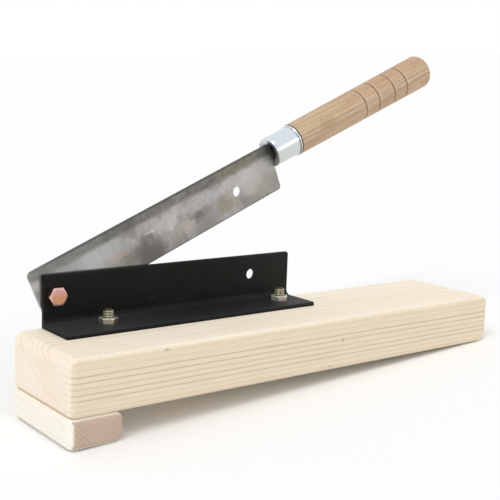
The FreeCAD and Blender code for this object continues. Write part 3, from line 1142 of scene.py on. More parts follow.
@dataclass
class BoardAndFoot:
    """Pine board with sunk bolt holes, and the foot block screwed under its pivot end."""

    length: float = 421.0
    width: float = 90.0
    thickness: float = 41.4
    end_round: float = 8.0
    upright_round: float = 6.0
    long_round: float = 4.0
    handle_end_top_round: float = 10.0
    handle_end_low_round: float = 13.0
    handle_end_upright_round: float = 8.0
    far_corner_round: float = 9.0
    pivot_end_low_round: float = 6.0
    foot_length: float = 41.6
    foot_height: float = 21.5
    foot_round: float = 4.0
    foot_inner_round: float = 8.0
    foot_inner_top_round: float = 6.0
    foot_far_corner_round: float = 7.0
    foot_near_corner_round: float = 7.5
    foot_top_round: float = 3.0
    bolt_hole_radius: float = 4.3
    sink_radius: float = 12.0
    sink_depth: float = 11.6
    screw_edge_distance: float = 21.0
    screw_length: float = 45.0
    screw_radius: float = 2.1
    screw_head_radius: float = 4.2
    screw_head_height: float = 2.6
    screw_hole_fit: float = 0.05
    recess_half_width: float = 2.4
    recess_half_floor: float = 0.9
    recess_depth: float = 1.9
    recess_slot: float = 1.0
    recess_turn: float = 20.0
    crease: float = 40.0

    def board_mesh(self, bolt_places: Sequence[Pair]) -> Mesh:
        """Board with its ends sanded round and its bolt holes sunk from below.

        Args:
            bolt_places: X and Y of each hold-down bolt.

        Returns:
            The board.
        """
        others = {(2, 1, 2): self.handle_end_top_round, (2, 1, 0): self.handle_end_low_round,
                  (2, 0, 1): self.handle_end_upright_round, (2, 2, 1): self.handle_end_upright_round,
                  (0, 2, 1): self.far_corner_round, (0, 1, 0): self.pivot_end_low_round}
        block = sanded_block((self.length, self.width, self.thickness),
                             (self.long_round, self.end_round, self.upright_round), others)
        drills = []
        for x, y in bolt_places:
            drills.append(pin(self.bolt_hole_radius, (x, y, -OVER), ALONG_Z, self.thickness + 2 * OVER))
            drills.append(pin(self.sink_radius, (x, y, -OVER), ALONG_Z, self.sink_depth + OVER))
        return worked(block, drills)

    def foot_mesh(self) -> Mesh:
        """Foot block, its inner lower edge rounded most, drilled and countersunk for its screws.

        Returns:
            The foot block.
        """
        others = {(2, 1, 0): self.foot_inner_round, (2, 1, 2): self.foot_inner_top_round,
                  (0, 2, 1): self.foot_far_corner_round, (0, 0, 1): self.foot_near_corner_round,
                  (0, 1, 2): self.foot_top_round}
        block = sanded_block((self.foot_length, self.width, self.foot_height), (self.foot_round,) * 3, others)
        return worked(moved(block, shift(z=-self.foot_height)),
                      [moved(self.screw_blank(self.screw_hole_fit), stand) for stand in self.screw_stands()])

    def screw_stands(self) -> list[Matrix]:
        """Placement of each foot screw, head down."""
        places = (self.screw_edge_distance, self.width - self.screw_edge_distance)
        return [stood((self.foot_length / 2, y, -self.foot_height), ALONG_Z) for y in places]

    def screw_blank(self, fit: float = 0.0) -> Mesh:
        """Countersunk screw without its recess, or the cutter for its hole.

        Args:
            fit: How much wider the cutter is; 0 makes the screw.

        Returns:
            The screw or the cutter.
        """
        head, shank, tip = self.screw_head_radius + fit, self.screw_radius + fit, self.screw_length + fit
        mouth = [(-OVER, 0.0), (-OVER, head)] if fit else [(0.0, 0.0)]
        return turned([*mouth, (0.0, head), (self.screw_head_height, shank), (tip, shank), (tip, 0.0)],
                      steps=40)

    def screw_mesh(self) -> Mesh:
        """Countersunk screw with a tapered cross recess.

        Returns:
            The screw.
        """
        wide, narrow, beyond = self.recess_half_width, self.recess_half_floor, OVER / 2
        mouth = [(-wide, -beyond, 0.0), (wide, -beyond, 0.0), (narrow, self.recess_depth, 0.0),
                 (-narrow, self.recess_depth, 0.0)]
        arms = [moved(prism(Plane.SIDE, mouth, -self.recess_slot / 2, self.recess_slot),
                      spin(turn + self.recess_turn)) for turn in (0.0, 90.0)]
        return worked(self.screw_blank(), arms)

    def build(self, frames: Frames, bolt_places: Sequence[Pair], set_out: "SetOut") -> None:
        """Make and dress the board, the foot and its screws.

        Args:
            frames: Where the frames stand.
            bolt_places: X and Y of each hold-down bolt.
            set_out: The rule that repeats a fastener.
        """
        # The board's top and end colours are lighter than its sides as painted light from above and from the
        # left.
        pine = Pine("board_pine", heart=(-12.6, 138.0), outer_radius=134.0, first_ring=3.5,
                    ring_growth=0.017, side=(241, 227, 202), top=(254, 245, 226), end=(255, 244, 227),
                    line=(203, 180, 146), side_contrast=0.86, top_contrast=0.34, end_contrast=0.30,
                    seed=3.0, knocks=(Stain(75.0, 38.6, 2.6, 0.9, (146, 134, 118), 0.55),
                                      Stain(242.0, 23.6, 1.3, 1.6, (140, 118, 96), 0.55),
                                      Stain(229.0, 3.6, 2.4, 0.8, (168, 146, 122), 0.50)))
        deliver(self.board_mesh(bolt_places), frames.deck,
                Ticket("pine_board", Body.BASE, "board_wood", ("board",)), pine.dress(frames.deck),
                self.crease)
        # The foot's near-white sides are painted light from the left; its darker end grain is partly the end
        # grain's own tone and partly painted shade on its front.
        offcut = Pine("foot_pine", heart=(-90.0, 70.0), outer_radius=129.0, first_ring=2.4,
                      ring_growth=0.0, side=(255, 254, 245), top=(255, 251, 238), end=(202, 180, 162),
                      line=(156, 130, 112), side_contrast=0.05, top_contrast=0.20, end_contrast=0.50,
                      seed=21.0, grain=Grain.CROSSWISE, end_from=0.58, end_full=0.86, saw_marks=0.30,
                      lit_corner_limit=0.47)
        deliver(self.foot_mesh(), frames.deck,
                Ticket("foot_offcut", Body.BASE, "foot_wood", ("foot_block",)), offcut.dress(frames.deck),
                self.crease)
        zinc = Plating("screw_zinc", (200, 202, 204), (186, 189, 192), (140, 140, 138), shade_axis=2,
                       shade_from=-10.0, shade_to=10.0, roughness=0.26).dress(frames.deck)
        ticket = Ticket("foot_screws", Body.BASE, "plain_steel", ("foot_screw_front", "foot_screw_rear"))
        deliver(set_out.repeat(self.screw_mesh(), self.screw_stands(), zinc), frames.deck, ticket, zinc)


# ---- Rolled angle ----

@dataclass
class RolledAngle:
    """Rolled steel angle that the knife shears along; it places the bolts and the pivot."""

    leg: float = 40.0
    thickness: float = 3.0
    length: float = 228.6
    start: float = 22.6
    back: float = 86.6
    deck: float = 41.4
    root_round: float = 4.5
    toe_round: float = 2.0
    top_corner_round: float = 1.5
    front_corner_round: float = 1.0
    bolt_hole_radius: float = 4.3
    pivot_hole_radius: float = 4.05
    lock_hole_radius: float = 4.3
    bolt_row: float = 22.0
    pivot_end_bolt: float = 45.0
    handle_end_bolt: float = 20.3
    pivot_inset: float = 9.8
    pivot_rise: float = 24.0
    lying_drill: float = 8.0
    upright_drill: float = 9.0
    upright_drill_lead: float = 4.0
    arris: float = 0.2

    @property
    def end(self) -> float:
        """X of the handle end."""
        return self.start + self.length

    @property
    def front(self) -> float:
        """Y of the lying leg's front edge."""
        return self.back - self.leg

    @property
    def face(self) -> float:
        """Y of the upright leg's front face."""
        return self.back - self.thickness

    @property
    def shelf(self) -> float:
        """Z of the lying leg's top."""
        return self.deck + self.thickness

    @property
    def bolt_places(self) -> tuple[Pair, Pair]:
        """X and Y of each hold-down bolt, the pivot end's first."""
        row = self.front + self.bolt_row
        return (self.start + self.pivot_end_bolt, row), (self.end - self.handle_end_bolt, row)

    @property
    def pivot(self) -> Pair:
        """X and Z of the pivot."""
        return self.start + self.pivot_inset, self.deck + self.pivot_rise

    def mesh(self, lock_spacing: float) -> Mesh:
        """Angle with rounded root, toes and corners, drilled.

        Args:
            lock_spacing: From the pivot to the lock hole.

        Returns:
            The angle.
        """
        top, low, near, rear = self.deck + self.leg, self.deck - OVER, self.front - OVER, self.back + OVER
        section = [(self.back, self.deck, 0.0), (self.front, self.deck, 0.0),
                   (self.front, self.shelf, self.toe_round), (self.face, self.shelf, self.root_round),
                   (self.face, top, self.toe_round), (self.back, top, 0.0)]
        plan = [(self.start, self.front, self.top_corner_round),
                (self.end, self.front, self.front_corner_round), (self.end, rear, 0.0),
                (self.start, rear, 0.0)]
        side = [(self.start, low, 0.0), (self.end, low, 0.0), (self.end, top, self.top_corner_round),
                (self.start, top, self.top_corner_round)]
        bar = worked(prism(Plane.SECTION, section, self.start, self.length),
                     [prism(Plane.DECK, plan, low, self.leg + 2 * OVER),
                      prism(Plane.SIDE, side, near, self.leg + 2 * OVER)], Cut.COMMON)
        drills = [pin(self.bolt_hole_radius, (x, y, low), ALONG_Z, self.lying_drill)
                  for x, y in self.bolt_places]
        pivot_x, z = self.pivot
        lead = self.face - self.upright_drill_lead
        for x, radius in ((pivot_x, self.pivot_hole_radius), (pivot_x + lock_spacing, self.lock_hole_radius)):
            drills.append(pin(radius, (x, lead, z), ALONG_Y, self.upright_drill))
        return softened(worked(bar, drills), self.arris)

    def build(self, frames: Frames, lock_spacing: float) -> None:
        """Make and dress the angle.

        Args:
            frames: Where the frames stand.
            lock_spacing: From the pivot to the lock hole.
        """
        deliver(self.mesh(lock_spacing), frames.deck,
                Ticket("rolled_angle", Body.BASE, "black_angle", ("angle_bracket",)),
                BlackSteel("angle_black").dress(frames.deck))


# ---- Fasteners ----

class SetOut:
    """Geometry Nodes rule that sets one fastener out at several placements."""

    def __init__(self) -> None:
        """Build the tree: instances on points, realized and dressed."""
        self.rule = rule = Rule("set_out_fasteners", {"Places": "Geometry", "Fastener": "Object"})
        part = rule.get("GeometryNodeObjectInfo", {"Object": rule.given("Fastener"), "As Instance": True},
                        "Geometry")
        turn = rule.get("GeometryNodeInputNamedAttribute", ["turn"], data_type="FLOAT_VECTOR")
        inputs = {"Points": rule.given("Places"), "Instance": part, "Rotation": turn}
        rule.close(rule.get("GeometryNodeInstanceOnPoints", inputs))

    def repeat(self, part: Mesh, places: Sequence[Matrix], material: Material) -> Mesh:
        """Repeat a part.

        Args:
            part: The part's mesh, drawn along Z.
            places: Where each copy stands.
            material: Its finish.

        Returns:
            One mesh of all the copies.
        """
        points = bpy.data.meshes.new("places")
        points.from_pydata([place.translation for place in places], [], [])
        turns = points.attributes.new("turn", "FLOAT_VECTOR", "POINT")
        for index, place in enumerate(places):
            turns.data[index].vector = place.to_euler()
        holder = in_scene("pattern", part)
        mesh = self.rule.make({"Fastener": holder, "Material": material}, points)
        bpy.data.objects.remove(holder)
        return mesh


@dataclass
class ScrewThread:
    """Geometry Nodes rule for a round shank with a rolled helical thread and a chamfered tip."""

    pitch: float = 1.25
    depth: float = 0.62
    tip_chamfer: float = 1.5
    flank: float = 1.35
    points_around: int = 44
    bands_per_turn: int = 8

    def __post_init__(self) -> None:
        """Build the tree."""
        sizes = ("Radius", "Length", "Pitch", "Depth", "Plain Length", "Tip Chamfer")
        self.rule = rule = Rule("rolled_thread", {**dict.fromkeys(sizes, "Float"), "Points Around": "Int",
                                                  "Bands": "Int"})
        outer, length, pitch, depth, plain, chamfer = (rule.given(label) for label in sizes)
        rod, out_x, out_y, share = rule.rod()
        height = share * length
        turn = rule.get("ShaderNodeMath", [out_y, out_x], operation="ARCTAN2") / (2 * math.pi)
        phase = (height / pitch - turn).fraction()
        valley = ((phase * 2.0 - 1.0).size() * -self.flank + (0.5 + self.flank / 2)).clamped()
        begun = ((height - plain) / pitch).clamped()
        radius = (outer - valley * depth * begun).at_most(outer - chamfer + length - height)
        rule.close(rule.place_points(rod, rule.vector(out_x * radius, out_y * radius, height)))

    def shank(self, radius: float, length: float, plain: float, material: Material) -> Mesh:
        """Make one shank standing on Z = 0.

        Args:
            radius: Thread's outer radius.
            length: Whole length.
            plain: Length before the thread starts.
            material: Its finish.

        Returns:
            The shank.
        """
        return self.rule.make({"Radius": radius, "Length": length, "Pitch": self.pitch,
                               "Depth": self.depth, "Plain Length": plain,
                               "Tip Chamfer": self.tip_chamfer, "Points Around": self.points_around,
                               "Bands": round(length / self.pitch * self.bands_per_turn),
                               "Material": material})


@dataclass
class Hardware:
    """Metric hexagon hardware: the two hold-down sets and the pivot's bolt, washers and nut."""

    thread_radius: float = 4.0
    bore_radius: float = 4.05
    bore_lip: float = 0.35
    hex_width: float = 13.0
    chamfer_width: float = 12.2
    head_chamfer_width: float = 11.2
    head_height: float = 5.3
    head_face_radius: float = 5.8
    head_face_height: float = 0.3
    head_face_overlap: float = 0.1
    nut_height: float = 4.0
    washer_radius: float = 8.5
    washer_thickness: float = 1.6
    washer_soft: float = 0.25
    spring_radius: float = 7.0
    spring_thickness: float = 2.0
    spring_split: float = 1.2
    spring_slant: float = 0.36
    spring_soft: float = 0.2
    wood_washer_radius: float = 11.0
    hold_down_length: float = 45.0
    hold_down_head: float = 10.0
    hold_down_plain: float = 23.0
    nut_turns: Pair = (32.0, 50.0)
    head_turns: Pair = (12.0, 40.0)
    pivot_length: float = 16.0
    pivot_plain: float = 6.0
    pivot_washer_seat: float = 90.3
    pivot_nut_turn: float = 15.0
    arris: float = 0.12

    def hexagon(self, height: float, chamfer_width: float, both_ends: bool, bore: bool) -> Mesh:
        """Hexagon blank standing on Z = 0 with turned chamfers.

        Args:
            height: Its height.
            chamfer_width: Width of the flat circle inside its chamfer.
            both_ends: Whether the lower face is chamfered too.
            bore: Whether it is bored and countersunk for the thread.

        Returns:
            The nut or head.
        """
        slope = math.tan(math.radians(30.0))
        corner = self.hex_width / 2 / math.cos(math.radians(30.0))
        ring = [math.radians(60.0 * side) for side in range(6)]
        blank = prism(Plane.DECK, [(corner * math.cos(a), corner * math.sin(a), 0.0) for a in ring], 0.0,
                      height)
        flat, reach = chamfer_width / 2, corner + OVER / 2
        drop = (reach - flat) * slope
        low = [(0.0, 0.0), (0.0, flat), (drop, reach)] if both_ends else [(-OVER, 0.0), (-OVER, reach)]
        envelope = turned([*low, (height - drop, reach), (height, flat), (height, 0.0)],
                          steps=96)
        blank = worked(blank, [envelope], Cut.COMMON)
        if bore:
            inner, lip = self.bore_radius, self.bore_radius + self.bore_lip
            blank = worked(blank, [turned([(-OVER, 0.0), (-OVER, lip), (0.0, lip), (self.bore_lip, inner),
                                           (height - self.bore_lip, inner), (height, lip),
                                           (height + OVER, lip), (height + OVER, 0.0)], steps=48)])
        return softened(blank, self.arris, 25.0)

    def ring(self, outer: float) -> Mesh:
        """Flat washer standing on Z = 0 with soft edges.

        Args:
            outer: Its outer radius.

        Returns:
            The washer.
        """
        bore, thickness, soft = self.bore_radius, self.washer_thickness, self.washer_soft
        profile = [(0.0, bore + soft), (soft, bore), (thickness - soft, bore), (thickness, bore + soft),
                   (thickness, outer - soft), (thickness - soft * 0.4, outer - soft * 0.3),
                   (thickness - soft, outer), (soft, outer), (soft * 0.4, outer - soft * 0.3),
                   (0.0, outer - soft)]
        return turned(profile, steps=72, loop=True)

    def spring_washer(self, steps: int = 60) -> Mesh:
        """Spring washer pressed flat, with its slanting split.

        Args:
            steps: Chords round it.

        Returns:
            The washer.
        """
        low, high, top, soft = self.bore_radius, self.spring_radius, self.spring_thickness, self.spring_soft
        half_gap = self.spring_split / (low + high)
        section = [(low, soft), (low + soft, 0.0), (high - soft, 0.0), (high, soft),
                   (high, top - soft), (high - soft, top), (low + soft, top), (low, top - soft)]
        form = bmesh.new()
        rings = []
        for step in range(steps + 1):
            angle = half_gap + (2 * math.pi - 2 * half_gap) * step / steps
            leans = [angle + self.spring_slant * (height - top / 2) / radius for radius, height in section]
            rings.append([form.verts.new((radius * math.cos(lean), radius * math.sin(lean), height))
                          for (radius, height), lean in zip(section, leans)])
        for before, after in zip(rings, rings[1:]):
            for index in range(len(section)):
                following = (index + 1) % len(section)
                form.faces.new([before[index], before[following], after[following], after[index]])
        form.faces.new(rings[0])
        form.faces.new(rings[-1])
        return plain_mesh(form)

    def bolt(self, thread: ScrewThread, length: float, plain: float, material: Material) -> Mesh:
        """Hexagon bolt, shank up from Z = 0 and head below, with the washer face under its head.

        Args:
            thread: The thread rule.
            length: Shank length.
            plain: Length before its thread.
            material: Its finish.

        Returns:
            The bolt.
        """
        rise, wide = self.head_face_height, self.head_face_radius
        sunk = -rise - self.head_face_overlap
        head = moved(self.hexagon(self.head_height - rise, self.head_chamfer_width, False, False),
                     shift(z=-rise) @ spin(180.0, "X"))
        face = turned([(sunk, 0.0), (sunk, wide), (0.0, wide), (0.0, 0.0)])
        form = bmesh.new()
        for part in (head, face, thread.shank(self.thread_radius, length, plain, material)):
            form.from_mesh(part)
        mesh = bpy.data.meshes.new("bolt")
        form.to_mesh(mesh)
        form.free()
        return mesh

    def hold_down(self, frames: Frames, angle: RolledAngle, set_out: SetOut, thread: ScrewThread) -> None:
        """Make and dress the bolts, nuts and washers that hold the angle down.

        Args:
            frames: Where the frames stand.
            angle: The angle that they hold.
            set_out: The rule that repeats a fastener.
            thread: The thread rule.
        """
        (left, _), (right, _) = angle.bolt_places
        # Painted light and shade on single facets of the nuts at each bolt, one colour for each way a facet
        # faces.
        painted_facet_light = (PaintedFacetLight(left, (0.53, -0.85, 0.0), (116, 78, 64)),
                   PaintedFacetLight(left, (-1.0, -0.03, 0.0), (112, 114, 106)),
                   PaintedFacetLight(right, (-0.94, -0.34, 0.0), (168, 172, 160)),
                   PaintedFacetLight(right, (-0.17, -0.98, 0.0), (232, 202, 190)))
        olive = Plating("olive_chromate", (198, 192, 172), (150, 147, 122), (122, 116, 94), shade_axis=2,
                        shade_from=46.0, shade_to=50.0, roughness=0.22, painted_facet_light=painted_facet_light,
                        studs=angle.bolt_places, metal=0.5, side_metal=0.5).dress(frames.deck)
        bolt = self.bolt(thread, self.hold_down_length, self.hold_down_plain, olive)
        nut = self.hexagon(self.nut_height, self.chamfer_width, False, True)
        washer = self.ring(self.wood_washer_radius)
        for name, node, part, height, turns in (
                ("hold_down_studs", "hold_down_bolt", bolt, self.hold_down_head, self.head_turns),
                ("hold_down_hex_nuts", "hold_down_nut", nut, angle.shelf, self.nut_turns),
                ("hold_down_wood_washers", "hold_down_washer", washer, self.hold_down_head, (0.0, 0.0))):
            stands = [stood((x, y, height), ALONG_Z, turn)
                      for (x, y), turn in zip(angle.bolt_places, turns)]
            nodes = (node + "_pivot_end", node + "_handle_end")
            deliver(set_out.repeat(part, stands, olive), frames.deck,
                    Ticket(name, Body.BASE, "fastener_plating", nodes), olive)

    def pivot(self, frames: Frames, angle: RolledAngle, thread: ScrewThread) -> None:
        """Make and dress the pivot's bolt, washers and nut.

        Args:
            frames: Where the frames stand.
            angle: The angle that they pass through.
            thread: The thread rule.
        """
        pink = Plating("pink_chromate", (210, 150, 114), (218, 164, 162), (186, 116, 74), shade_axis=2,
                       shade_from=64.0, shade_to=70.0, roughness=0.24, chamfer_highlight=(226, 188, 180),
                       face=(0.0, -1.0, 0.0), metal=0.45).dress(frames.deck)
        bolt = self.bolt(thread, self.pivot_length, self.pivot_plain, pink)
        nut = self.hexagon(self.nut_height, self.chamfer_width, True, True)
        spring_seat = self.pivot_washer_seat + self.washer_thickness
        nut_seat = spring_seat + self.spring_thickness
        x, z = angle.pivot
        for name, node, part, seat, turn in (
                ("pivot_hex_bolt", "pivot_bolt", bolt, angle.face, 0.0),
                ("pivot_flat_washer", "pivot_washer", self.ring(self.washer_radius),
                 self.pivot_washer_seat, 0.0),
                ("pivot_split_washer", "pivot_spring_washer", self.spring_washer(), spring_seat, 0.0),
                ("pivot_hex_nut", "pivot_nut", nut, nut_seat, self.pivot_nut_turn)):
            deliver(moved(part, stood((x, seat, z), ALONG_Y, turn)), frames.deck,
                    Ticket(name, Body.BASE, "pivot_plating", (node,)), pink)

    def build(self, frames: Frames, angle: RolledAngle, set_out: SetOut) -> None:
        """Make and dress every fastener of the angle and the pivot.

        Args:
            frames: Where the frames stand.
            angle: The angle that they hold.
            set_out: The rule that repeats a fastener.
        """
        thread = ScrewThread()
        self.hold_down(frames, angle, set_out, thread)
        self.pivot(frames, angle, thread)


# ---- Knife ----

@dataclass
class Knife:
    """Blade with its tang, the ferrule and the turned handle."""

    tail: float = 12.8
    reach: float = 222.0
    spine: float = 23.7
    width: float = 40.3
    thickness: float = 3.2
    tail_round: float = 4.0
    heel_round: float = 3.0
    bevel_width: float = 14.0
    edge_land: float = 0.4
    skin_width: float = 8.2
    arris: float = 0.15
    tang_root: float = 14.0
    tang_tip: float = 8.0
    tang_tip_round: float = 2.0
    tang_length: float = 85.0
    pivot_radius: float = 4.05
    lock_spacing: float = 179.0
    lock_radius: float = 4.3
    axis_height: float = 16.1
    ferrule_front: float = 221.2
    ferrule_length: float = 27.0
    ferrule_radius: float = 12.8
    ferrule_nose: float = 1.0
    ferrule_wall: float = 0.8
    dish_radius: float = 11.2
    dish_depth: float = 2.4
    bead_width: float = 1.9
    bead_height: float = 0.9
    # Lines round the ferrule: place along it, half width and depth.
    score: Triple = (2.1, 0.3, 0.16)
    neck: Triple = (24.65, 0.35, 0.25)
    handle_length: float = 164.6
    handle_front: float = 13.85
    handle_rear: float = 15.06
    handle_gap: float = 0.05
    hand_unevenness: float = 0.04
    handle_points: int = 96
    handle_bands: int = 520
    butt_round: float = 6.0
    grooves_from_butt: tuple[float, float, float, float] = (86.7, 70.1, 50.4, 34.4)
    groove_round: float = 1.6
    groove_depth: float = 0.9
    fit: float = 0.1

    @property
    def edge(self) -> float:
        """Z of the cutting edge."""
        return self.spine - self.width

    @property
    def ferrule_end(self) -> float:
        """X where the ferrule ends and the bare handle starts."""
        return self.ferrule_front + self.ferrule_length

    @property
    def handle_end(self) -> float:
        """X of the handle's butt."""
        return self.ferrule_end + self.handle_length

    def tang(self, fit: float = 0.0, overrun: float = 0.0) -> list[Triple]:
        """Corners of the tang from its lower root to its upper root.

        Args:
            fit: How much wider it is all round.
            overrun: How far its root is carried forward.

        Returns:
            X, Z and round of each corner.
        """
        root, tip = self.ferrule_front - overrun, self.ferrule_front + self.tang_length + fit
        low, high = self.axis_height - fit, self.axis_height + fit
        return [(root, low - self.tang_root / 2, 0.0), (tip, low - self.tang_tip / 2, self.tang_tip_round),
                (tip, high + self.tang_tip / 2, self.tang_tip_round), (root, high + self.tang_root / 2, 0.0)]

    def blade_mesh(self) -> Mesh:
        """Blade: flat on the side that meets the angle, ground to one long bevel on the other.

        Returns:
            The blade.
        """
        half = self.thickness / 2
        step = self.axis_height - self.ferrule_radius - self.fit
        outline = [(-self.tail, self.edge, 0.0), (self.reach, self.edge, self.heel_round),
                   (self.reach, step, 0.0), (self.ferrule_front, step, 0.0), *self.tang(),
                   (self.ferrule_front, self.spine, 0.0), (-self.tail, self.spine, self.tail_round)]
        form = bmesh.new()
        form.from_mesh(prism(Plane.SIDE, outline, -half, self.thickness))
        everything = list(form.verts) + list(form.edges) + list(form.faces)
        bmesh.ops.bisect_plane(form, geom=everything, plane_no=ALONG_Z,
                               plane_co=(0.0, 0.0, self.edge + self.bevel_width))
        slope = (self.thickness - self.edge_land) / self.bevel_width
        for vert in form.verts:
            if vert.co.y > 0.0:
                vert.co.y = min(half, self.edge_land - half + (vert.co.z - self.edge) * slope)
        holes = ((0.0, self.pivot_radius), (self.lock_spacing, self.lock_radius))
        drills = [pin(radius, (x, -half - OVER, 0.0), ALONG_Y, self.thickness + 2 * OVER)
                  for x, radius in holes]
        return softened(worked(plain_mesh(form), drills), self.arris)

    def ferrule_mesh(self) -> Mesh:
        """Pressed cap: dished front with the tang's slot, scored lines, rolled rear rim.

        Returns:
            The ferrule.
        """
        nose, radius, length = self.ferrule_nose, self.ferrule_radius, self.ferrule_length
        dish = (self.dish_radius ** 2 + self.dish_depth ** 2) / (2 * self.dish_depth)
        rim = math.degrees(math.asin(self.dish_radius / dish))
        profile = arc((self.dish_depth - dish, 0.0), dish, 90.0, 90.0 - rim, steps=10)
        profile += arc((nose, radius - nose), nose, -90.0, 0.0, steps=8)
        for place, half_width, depth in (self.score, self.neck):
            profile += [(place - half_width, radius), (place, radius - depth), (place + half_width, radius)]
        half_bead = self.bead_width / 2
        bead = (half_bead ** 2 + self.bead_height ** 2) / (2 * self.bead_height)
        bead_reach = math.degrees(math.acos(1 - self.bead_height / bead))
        profile += arc((length - half_bead, radius + self.bead_height - bead), bead, -bead_reach,
                       bead_reach, steps=14)
        inside, inner = self.dish_depth + self.ferrule_wall, radius - self.ferrule_wall
        profile += [(length, inner), (inside, inner), (inside, 0.0)]
        cap = moved(turned(profile, steps=112), stood((self.ferrule_front, 0.0, self.axis_height), ALONG_X))
        slot = self.thickness + 2 * self.fit
        return worked(cap, [prism(Plane.SIDE, self.tang(self.fit, OVER), -slot / 2, slot)])

    def handle_mesh(self, material: Material) -> Mesh:
        """Turned handle by its rule, moved to its place behind the ferrule.

        Args:
            material: Its finish.

        Returns:
            The handle.
        """
        values = {"Length": self.handle_length, "Front Radius": self.handle_front,
                  "Rear Radius": self.handle_rear,
                  "Nose Length": self.ferrule_length - self.dish_depth - self.ferrule_wall - self.handle_gap,
                  "Nose Radius": self.ferrule_radius - self.ferrule_wall - self.handle_gap,
                  "Butt Round": self.butt_round, "Groove Round": self.groove_round,
                  "Groove Depth": self.groove_depth, "Hand Unevenness": self.hand_unevenness,
                  "Points Around": self.handle_points, "Bands": self.handle_bands,
                  "Material": material}
        for number, from_butt in enumerate(self.grooves_from_butt, 1):
            values[f"Groove {number} From Butt"] = from_butt
        return moved(turned_handle_rule().make(values), shift(self.ferrule_end, 0.0, self.axis_height))

    def stains(self) -> tuple[Stain, ...]:
        """Where the blade is stained, in a few broad soft patches.

        Returns:
            The stains, in the order they are laid.
        """
        grey, pale, bright = (98, 95, 91), (206, 204, 200), (196, 193, 188)
        return (Stain(165.0, 9.5, 45.0, 5.0, bright, 0.55), Stain(192.0, 3.0, 13.0, 10.0, bright, 0.70),
                Stain(46.0, 10.0, 20.0, 9.0, (186, 188, 188), 0.60),
                Stain(86.0, -11.0, 14.0, 16.0, grey, 0.90), Stain(77.0, 14.0, 4.0, 8.0, grey, 0.28),
                Stain(68.0, -6.0, 9.0, 7.0, (120, 108, 100), 0.55),
                Stain(137.0, -1.5, 8.0, 5.0, grey, 0.70), Stain(165.0, -6.0, 9.0, 6.0, (142, 130, 104), 0.50),
                Stain(158.0, 16.0, 12.0, 5.0, grey, 0.35), Stain(110.0, 7.0, 9.0, 8.0, pale, 0.55),
                Stain(121.0, -5.0, 6.0, 4.0, (190, 178, 166), 0.5), Stain(90.0, 6.0, 5.0, 1.6, pale, 0.7),
                Stain(57.0, 1.0, 9.0, 3.5, (186, 166, 152), 0.55),
                Stain(202.0, -6.0, 12.0, 7.0, (186, 176, 164), 0.35),
                Stain(-11.0, 4.0, 4.0, 26.0, pale, 0.6), Stain(152.0, 7.0, 9.0, 5.0, (176, 175, 182), 0.4))

    def build(self, frames: Frames) -> None:
        """Make and dress the blade, the ferrule and the handle.

        Args:
            frames: Where the frames stand.
        """
        place = frames.knife
        steel = BladeSteel("blade_ground_steel", self.spine, self.edge, self.skin_width, self.stains())
        deliver(self.blade_mesh(), place, Ticket("forged_blade", Body.KNIFE, "blade_steel", ("blade",)),
                steel.dress(place))
        zinc = FerruleZinc("ferrule_zinc", self.axis_height, self.ferrule_front + self.neck[0],
                           self.ferrule_end)
        deliver(self.ferrule_mesh(), place,
                Ticket("pressed_ferrule", Body.KNIFE, "ferrule_plating", ("ferrule",)), zinc.dress(place))
        grooves = tuple(self.handle_end - from_butt for from_butt in self.grooves_from_butt)
        oak = Oak("handle_oak", self.axis_height, grooves, self.ferrule_end).dress(place)
        deliver(self.handle_mesh(oak), place,
                Ticket("turned_handle", Body.KNIFE, "handle_wood", ("handle",)), oak)


def turned_handle_rule() -> Rule:
    """Geometry Nodes rule for the turned handle: nose, slow swell, round-bottomed grooves, round butt.

    Returns:
        The rule; the handle lies along X from 0, its nose behind it.
    """
    sizes = ("Length", "Front Radius", "Rear Radius", "Nose Length", "Nose Radius", "Butt Round",
             "Groove Round", "Groove Depth", "Hand Unevenness")
    grooves = [f"Groove {number} From Butt" for number in (1, 2, 3, 4)]
    rule = Rule("turned_handle", {**dict.fromkeys([*sizes, *grooves], "Float"), "Points Around": "Int",
                                  "Bands": "Int"})
    length, front, rear, nose, nose_radius, butt, groove, depth, unevenness = map(rule.given, sizes)
    rod, out_y, out_z, share = rule.rod()
    straight, blotch = 0.95, 14.0
    on_butt = share.above(straight)
    angle = ((share - straight) / (1.0 - straight)).at_least(0.0) * (math.pi / 2)
    body_end = length - butt
    run = (share / straight) * (body_end + nose) - nose
    along = rule.choose(on_butt, run, body_end + angle.sine() * butt)
    nearest = length
    for label in grooves:
        nearest = nearest.at_most((length - along - rule.given(label)).size())
    bowl = (groove.squared() - nearest.squared()).at_least(0.0).root()
    dip = (bowl - groove + depth).at_least(0.0)
    body = (run.at_least(0.0) / length) * (rear - front) + front - dip
    body = rule.choose(along.above(0.0), nose_radius, body)
    radius = rule.choose(on_butt, body, rear - butt + angle.cosine() * butt)
    wander = rule.noise(rule.vector(along / blotch, out_y, out_z), 2.0, 0.5, 0.0) - 0.5
    radius = radius + wander * unevenness * along.above(1.0)
    rule.close(rule.place_points(rod, rule.vector(along, out_y * radius, out_z * radius)))
    return rule


# ---- Studio ----

@dataclass(frozen=True)
class Lamp:
    """A far soft lamp: its share of the light, where it stands and how wide it looks, in degrees."""

    name: str
    share: float
    toward: Triple
    width: float


